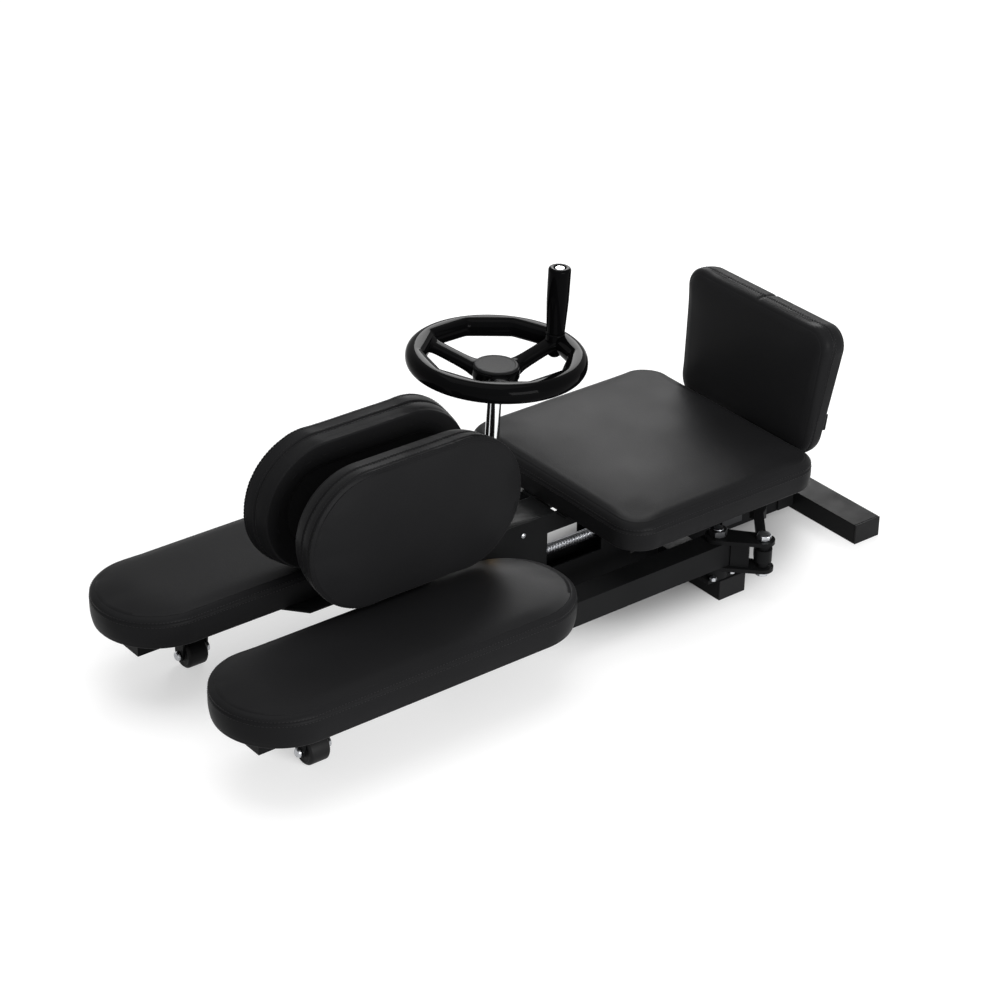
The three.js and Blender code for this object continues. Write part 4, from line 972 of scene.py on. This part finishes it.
def satin_cap():
    """Satin grey-black disc with fine scratches."""
    satin = new_material("satin_cap", (0.016, 0.016, 0.0165), 0.46, ior=1.12)
    dulled(satin, noise_on(satin, 300, 3, (1, 6, 1)), 0.42, 0.52)
    embossed(satin, noise_on(satin, 900, 2, (1, 6, 1)), 8e-6)
    return satin


def chrome_plate():
    """Bright chrome over ground steel, with very fine rings round the bar."""
    chrome = new_material("chrome_plate", (0.78, 0.79, 0.8), 0.08, metallic=1.0)
    dulled(chrome, noise_on(chrome, 260, 4, (1, 1, 6)), 0.05, 0.14)
    return chrome


def squarish(value, power):
    """The value's size to a power below one, with its sign, which squares up a round section."""
    return np.sign(value) * np.abs(value) ** power


def wheel_rim(around=400, section=36):
    """The rim as a ring of sections: radius = middle + half deep * squarish cos s, less the finger
    flat's depth times 0.2 - 1.7 cos s between 0 and 1; height = half tall * squarish sin s."""
    turn = np.arange(around) * 2 * np.pi / around
    pitch = 2 * np.pi / FLAT_COUNT
    reach = WHEEL_RADIUS - RIM_DEEP
    from_middle = (turn - FLAT_START) % pitch - pitch / 2
    inward = reach - reach * math.cos(pitch / 2) / np.cos(from_middle)
    blur, half = np.hanning(FLAT_BLUR), FLAT_BLUR // 2
    inward = np.concatenate([inward[-half:], inward, inward[:half]])
    inward = np.convolve(inward, blur / blur.sum(), "valid")
    s = np.arange(section) * 2 * np.pi / section
    weight = np.clip(FLAT_FROM - FLAT_GAIN * np.cos(s), 0, 1)
    radius = RIM_MIDDLE + RIM_DEEP / 2 * squarish(np.cos(s), RIM_POWER) - weight * inward[:, None]
    height = RIM_TALL / 2 * squarish(np.sin(s), RIM_POWER)
    return np.stack([radius * np.cos(turn)[:, None], radius * np.sin(turn)[:, None],
                     height[None] + 0 * radius], -1)


def wheel_spoke(turn, steps=44, section=32):
    """A spoke from the hub to the rim: a rounded rectangle section whose half sizes flare by
    decaying powers near both ends, its middle dropping toward the hub along a straight line."""
    reach = np.linspace(SPOKE_FROM, RIM_MIDDLE, steps)[:, None]
    outer = np.exp(-np.clip(RIM_MIDDLE - RIM_DEEP / 2 - reach, 0, None) / 5.0)
    inner = np.exp(-np.clip(reach - HUB_EDGE, 0, None) / 7.0)
    wide = 12.2 + 6.0 * outer + 3.0 * inner
    tall = 6.4 + 2.2 * outer + 1.6 * inner + 1.2 * (RIM_MIDDLE - reach) / (RIM_MIDDLE - HUB_EDGE)
    drop = SPOKE_SLOPE * (RIM_MIDDLE - reach) - SPOKE_RISE
    s = (np.arange(section) * 2 * np.pi / section)[None]
    across = wide * squarish(np.cos(s), SPOKE_POWER)
    height = tall * squarish(np.sin(s), SPOKE_POWER) - drop
    x = reach * math.cos(turn) - across * math.sin(turn)
    y = reach * math.sin(turn) + across * math.cos(turn)
    grid = np.stack([x, y, height], -1)
    foot, tip = (part.mean(1, keepdims=True) + 0 * part for part in (grid[:1], grid[-1:]))
    return np.concatenate([foot, grid, tip])


def wheel_hub(around=192, flutes=24):
    """The hub as a lathe surface whose lower part is fluted by a cosine of the turn."""
    profile = rounded([(10.3, -18), (10.3, -42), (24, -42), (30.5, -38), (31.5, -27), (33, -25),
                       (33, -14), (31.4, -12.5), (10.3, -12.5), (10.3, -18)], 2.2, 6)
    grid = turned(profile, around)
    turn = np.arange(around) * 2 * np.pi / around
    height = grid[..., 2]
    low = np.clip((-26 - height) / 3, 0, 1) * np.clip((height + 41) / 3, 0, 1)
    radius = np.hypot(grid[..., 0], grid[..., 1])
    cut = FLUTE_DEEP * low * (0.5 + 0.5 * np.cos(flutes * turn))[None] * (radius > 20)
    grid[..., :2] *= (1 - cut / np.maximum(radius, 1))[..., None]
    return grid


gloss = polished_black()
chrome = chrome_plate()
hub_metal = satin_cap()
handle_at = np.array([-HANDLE_REACH, 0, 0])
shaft = turned(rounded([(0, SHAFT_LOW), (7, SHAFT_LOW), (7, SHAFT_STEP), (10, SHAFT_STEP),
                        (10, SHAFT_TOP), (0, SHAFT_TOP)], 1.0), 72)
finished(shaped("steering_shaft_chromed", [on_shaft(shaft)], chrome), "steering",
         "chrome_steel", "steering_shaft")
boss = turned(rounded([(4.3, -14), (9.8, -14), (12.5, -10.5), (14, -4), (14, 13.4), (12.8, 15),
                       (4.3, 15), (4.3, -14)], 2.0, 6), 72)
spokes = [wheel_spoke(math.pi + i * 2 * math.pi / 3) for i in range(3)]
wheel = [(on_shaft(wheel_rim()), True),
         *(on_shaft(part) for part in (*spokes, wheel_hub(), boss + handle_at))]
finished(shaped("handwheel_moulded", wheel, gloss), "steering", "gloss_black", "handwheel")
cap = turned(rounded([(0, -12.2), (31, -12.2), (31, -9.8), (29.6, -8.3), (27, -8.2), (26, -8.6),
                      (0, -8.7)], 0.7), 96)
finished(shaped("hub_cap_satin", [on_shaft(cap)], hub_metal), "steering", "gloss_black",
         "hub_cap")
eased("shaft_bevel_gear", cut_steel, "machined", 0.4)


def turned_grip():
    """The grip's lathe surface: the radius falls slowly from the crown down, and below 62 mm
    faster, along a softened ramp s log(1 + exp((62 - z) / s)), to the foot. The crown has a
    recess."""
    height = np.linspace(17.0, 108.0, 32)
    ramp = 5.0 * np.logaddexp(0, (62 - height) / 5.0)
    wall = np.stack([15.9 - 0.008 * (112 - height) - 0.05 * ramp, height], -1)
    rim = [(15.6, 109.6), (14.5, 111.4), (12.4, 112.2), (9.2, 111.9), (7.7, 111.0), (7.7, 106.4),
           (4.3, 106.4), (4.3, 15.4)]
    return turned(rounded([(4.3, 15.4), (12.6, 15.4), *wall, *rim], 0.9), 80)


spindle = turned(rounded([(0, -19.2), (4, -19.2), (4, 105.5), (6.9, 106.6), (7, 109.8),
                          (6.0, 111.4), (3.1, 111.5), (2.9, 109.9), (0, 109.8)], 0.6), 48)
cap_nut = turned(rounded([(0, -21.5), (5.5, -21), (9, -18.2), (10, -14.2), (4.2, -14.2),
                          (4.2, -16), (0, -16)], 0.9), 48)
finished(shaped("handle_grip_turned", [on_shaft(turned_grip() + handle_at)], gloss), "handle",
         "gloss_black", "handle_grip")
finished(shaped("grip_spindle_chromed", [on_shaft(spindle + handle_at)], chrome), "steering",
         "chrome_steel", "grip_spindle")
finished(shaped("spindle_cap_nut_moulded", [on_shaft(cap_nut + handle_at)], gloss), "steering",
         "gloss_black")

# Studio
# A pale floor in a white room, with soft lamps behind, beside and above the machine, and a camera
# at the photograph's angle.
FLOOR_HALF = 8.0
FLOOR_GLOW, FLOOR_TONE = 0.52, 0.56
# Painted shade: the floor's glow is cut away in a patch under the machine, so the floor there reads
# dark.
PAINTED_SHADE_MIDDLE, PAINTED_SHADE_REACH, PAINTED_SHADE_FROM = (-0.24, 0.0), (0.42, 0.2), 0.45
ROOM_SHARE = 0.5


def pale_floor():
    """Matt white that also glows for camera, mirror and glass rays, so it shows as background. The
    glow fades to nothing under the machine, a painted shade there, by the distance d from its middle
    over the reach each way: glow = full * smooth step of d from 0.45 to 1."""
    floor = bpy.data.materials.new("pale_floor")
    floor.use_nodes = True
    nodes, links = floor.node_tree.nodes, floor.node_tree.links
    nodes.clear()
    matt = nodes.new("ShaderNodeBsdfDiffuse")
    matt.inputs["Color"].default_value = (FLOOR_TONE, FLOOR_TONE, FLOOR_TONE, 1)
    place = nodes.new("ShaderNodeTexCoord")
    # Painted shade: this patch under the machine takes the glow away.
    painted_shade_spot = nodes.new("ShaderNodeMapping")
    painted_shade_spot.inputs["Location"].default_value = (
        *(-middle / reach for middle, reach in zip(PAINTED_SHADE_MIDDLE, PAINTED_SHADE_REACH)), 0)
    painted_shade_spot.inputs["Scale"].default_value = (*(1 / reach for reach in PAINTED_SHADE_REACH), 1)
    far = nodes.new("ShaderNodeVectorMath")
    far.operation = "LENGTH"
    fade = nodes.new("ShaderNodeMapRange")
    fade.interpolation_type = "SMOOTHSTEP"
    fade.inputs["From Min"].default_value = PAINTED_SHADE_FROM
    fade.inputs["To Max"].default_value = FLOOR_GLOW
    part = nodes.new("ShaderNodeMath")
    part.operation = "MULTIPLY"
    glow = nodes.new("ShaderNodeEmission")
    both = nodes.new("ShaderNodeAddShader")
    out = nodes.new("ShaderNodeOutputMaterial")
    links.new(place.outputs["Object"], painted_shade_spot.inputs["Vector"])
    links.new(painted_shade_spot.outputs["Vector"], far.inputs[0])
    links.new(far.outputs["Value"], fade.inputs["Value"])
    links.new(seen_directly(nodes, links, nodes.new("ShaderNodeLightPath")), part.inputs[0])
    links.new(fade.outputs["Result"], part.inputs[1])
    links.new(part.outputs[0], glow.inputs["Strength"])
    links.new(matt.outputs[0], both.inputs[0])
    links.new(glow.outputs[0], both.inputs[1])
    links.new(both.outputs[0], out.inputs["Surface"])
    return floor


def seen_directly(nodes, links, ray):
    """One for camera, glossy and transmission rays, and zero for the rest."""
    total = ray.outputs["Is Camera Ray"]
    for name in ("Is Glossy Ray", "Is Transmission Ray"):
        largest = nodes.new("ShaderNodeMath")
        largest.operation = "MAXIMUM"
        links.new(total, largest.inputs[0])
        links.new(ray.outputs[name], largest.inputs[1])
        total = largest.outputs[0]
    return total


def white_room(diffuse_share):
    """A world that is white where it is seen, and dimmer as a light."""
    world = bpy.data.worlds.new("white_room")
    world.use_nodes = True
    nodes, links = world.node_tree.nodes, world.node_tree.links
    seen = seen_directly(nodes, links, nodes.new("ShaderNodeLightPath"))
    line = nodes.new("ShaderNodeMapRange")
    line.inputs["To Min"].default_value = diffuse_share
    line.inputs["To Max"].default_value = 1.0
    links.new(seen, line.inputs["Value"])
    links.new(line.outputs["Result"], nodes["Background"].inputs["Strength"])
    nodes["Background"].inputs["Color"].default_value = (1, 1, 1, 1)
    bpy.context.scene.world = world


def soft_lamp(name, place, aim, wide, tall, watts):
    """A rectangular area lamp at a place in metres, facing a point."""
    light = bpy.data.lights.new(name, "AREA")
    light.shape = "RECTANGLE"
    light.size, light.size_y = wide, tall
    light.energy = watts
    lamp = bpy.data.objects.new(name, light)
    bpy.context.scene.collection.objects.link(lamp)
    lamp.location = place
    aim_at(lamp, aim)


def aim_at(thing, aim):
    """Turns a lamp's -Z to face a point, with its Y as near up as can be."""
    way = mathutils.Vector(aim) - thing.location
    thing.rotation_euler = way.to_track_quat("-Z", "Y").to_euler()


corners = np.array([[-1, -1, 0], [1, -1, 0], [1, 1, 0], [-1, 1, 0]], float) * FLOOR_HALF
floor_mesh = bpy.data.meshes.new("studio_floor")
floor_mesh.from_pydata(corners.tolist(), [], [(0, 1, 2, 3)])
floor_mesh.materials.append(pale_floor())
studio_floor = bpy.data.objects.new("studio_floor", floor_mesh)
bpy.context.scene.collection.objects.link(studio_floor)
white_room(ROOM_SHARE)
soft_lamp("back_left_lamp", (-2.0, -2.0, 1.65), (-0.2, 0, 0.15), 1.3, 1.0, 45)
soft_lamp("side_lamp", (0.2, 3.2, 1.05), (0, 0.1, 0.2), 2.0, 1.4, 110)
soft_lamp("top_lamp", (0.2, -0.3, 3.0), (0, 0, 0), 2.4, 2.4, 40)

CAMERA_AZIMUTH, CAMERA_ELEVATION = math.radians(141.63), math.radians(29.21)
CAMERA_ROLL = math.radians(0.96)
CAMERA_DISTANCE, CAMERA_LENS, CAMERA_FILM = 4.046, 102.1, 36.0
CAMERA_TARGET = np.array([-0.0221, -0.0501, 0.150])
back = np.array([math.sin(CAMERA_AZIMUTH) * math.cos(CAMERA_ELEVATION),
                 -math.cos(CAMERA_AZIMUTH) * math.cos(CAMERA_ELEVATION),
                 math.sin(CAMERA_ELEVATION)])
level = np.cross(-back, [0, 0, 1.0])
level /= np.linalg.norm(level)
upward = np.cross(level, -back)
stance = np.eye(4)
stance[:3, 0] = math.cos(CAMERA_ROLL) * level + math.sin(CAMERA_ROLL) * upward
stance[:3, 1] = -math.sin(CAMERA_ROLL) * level + math.cos(CAMERA_ROLL) * upward
stance[:3, 2] = back
stance[:3, 3] = CAMERA_TARGET + CAMERA_DISTANCE * back
lens = bpy.data.cameras.new("photo_camera")
lens.lens, lens.sensor_width = CAMERA_LENS, CAMERA_FILM
camera = bpy.data.objects.new("photo_camera", lens)
bpy.context.scene.collection.objects.link(camera)
camera.matrix_world = mathutils.Matrix(stance.tolist())
bpy.context.scene.camera = camera
bpy.context.scene.view_settings.view_transform = "Standard"
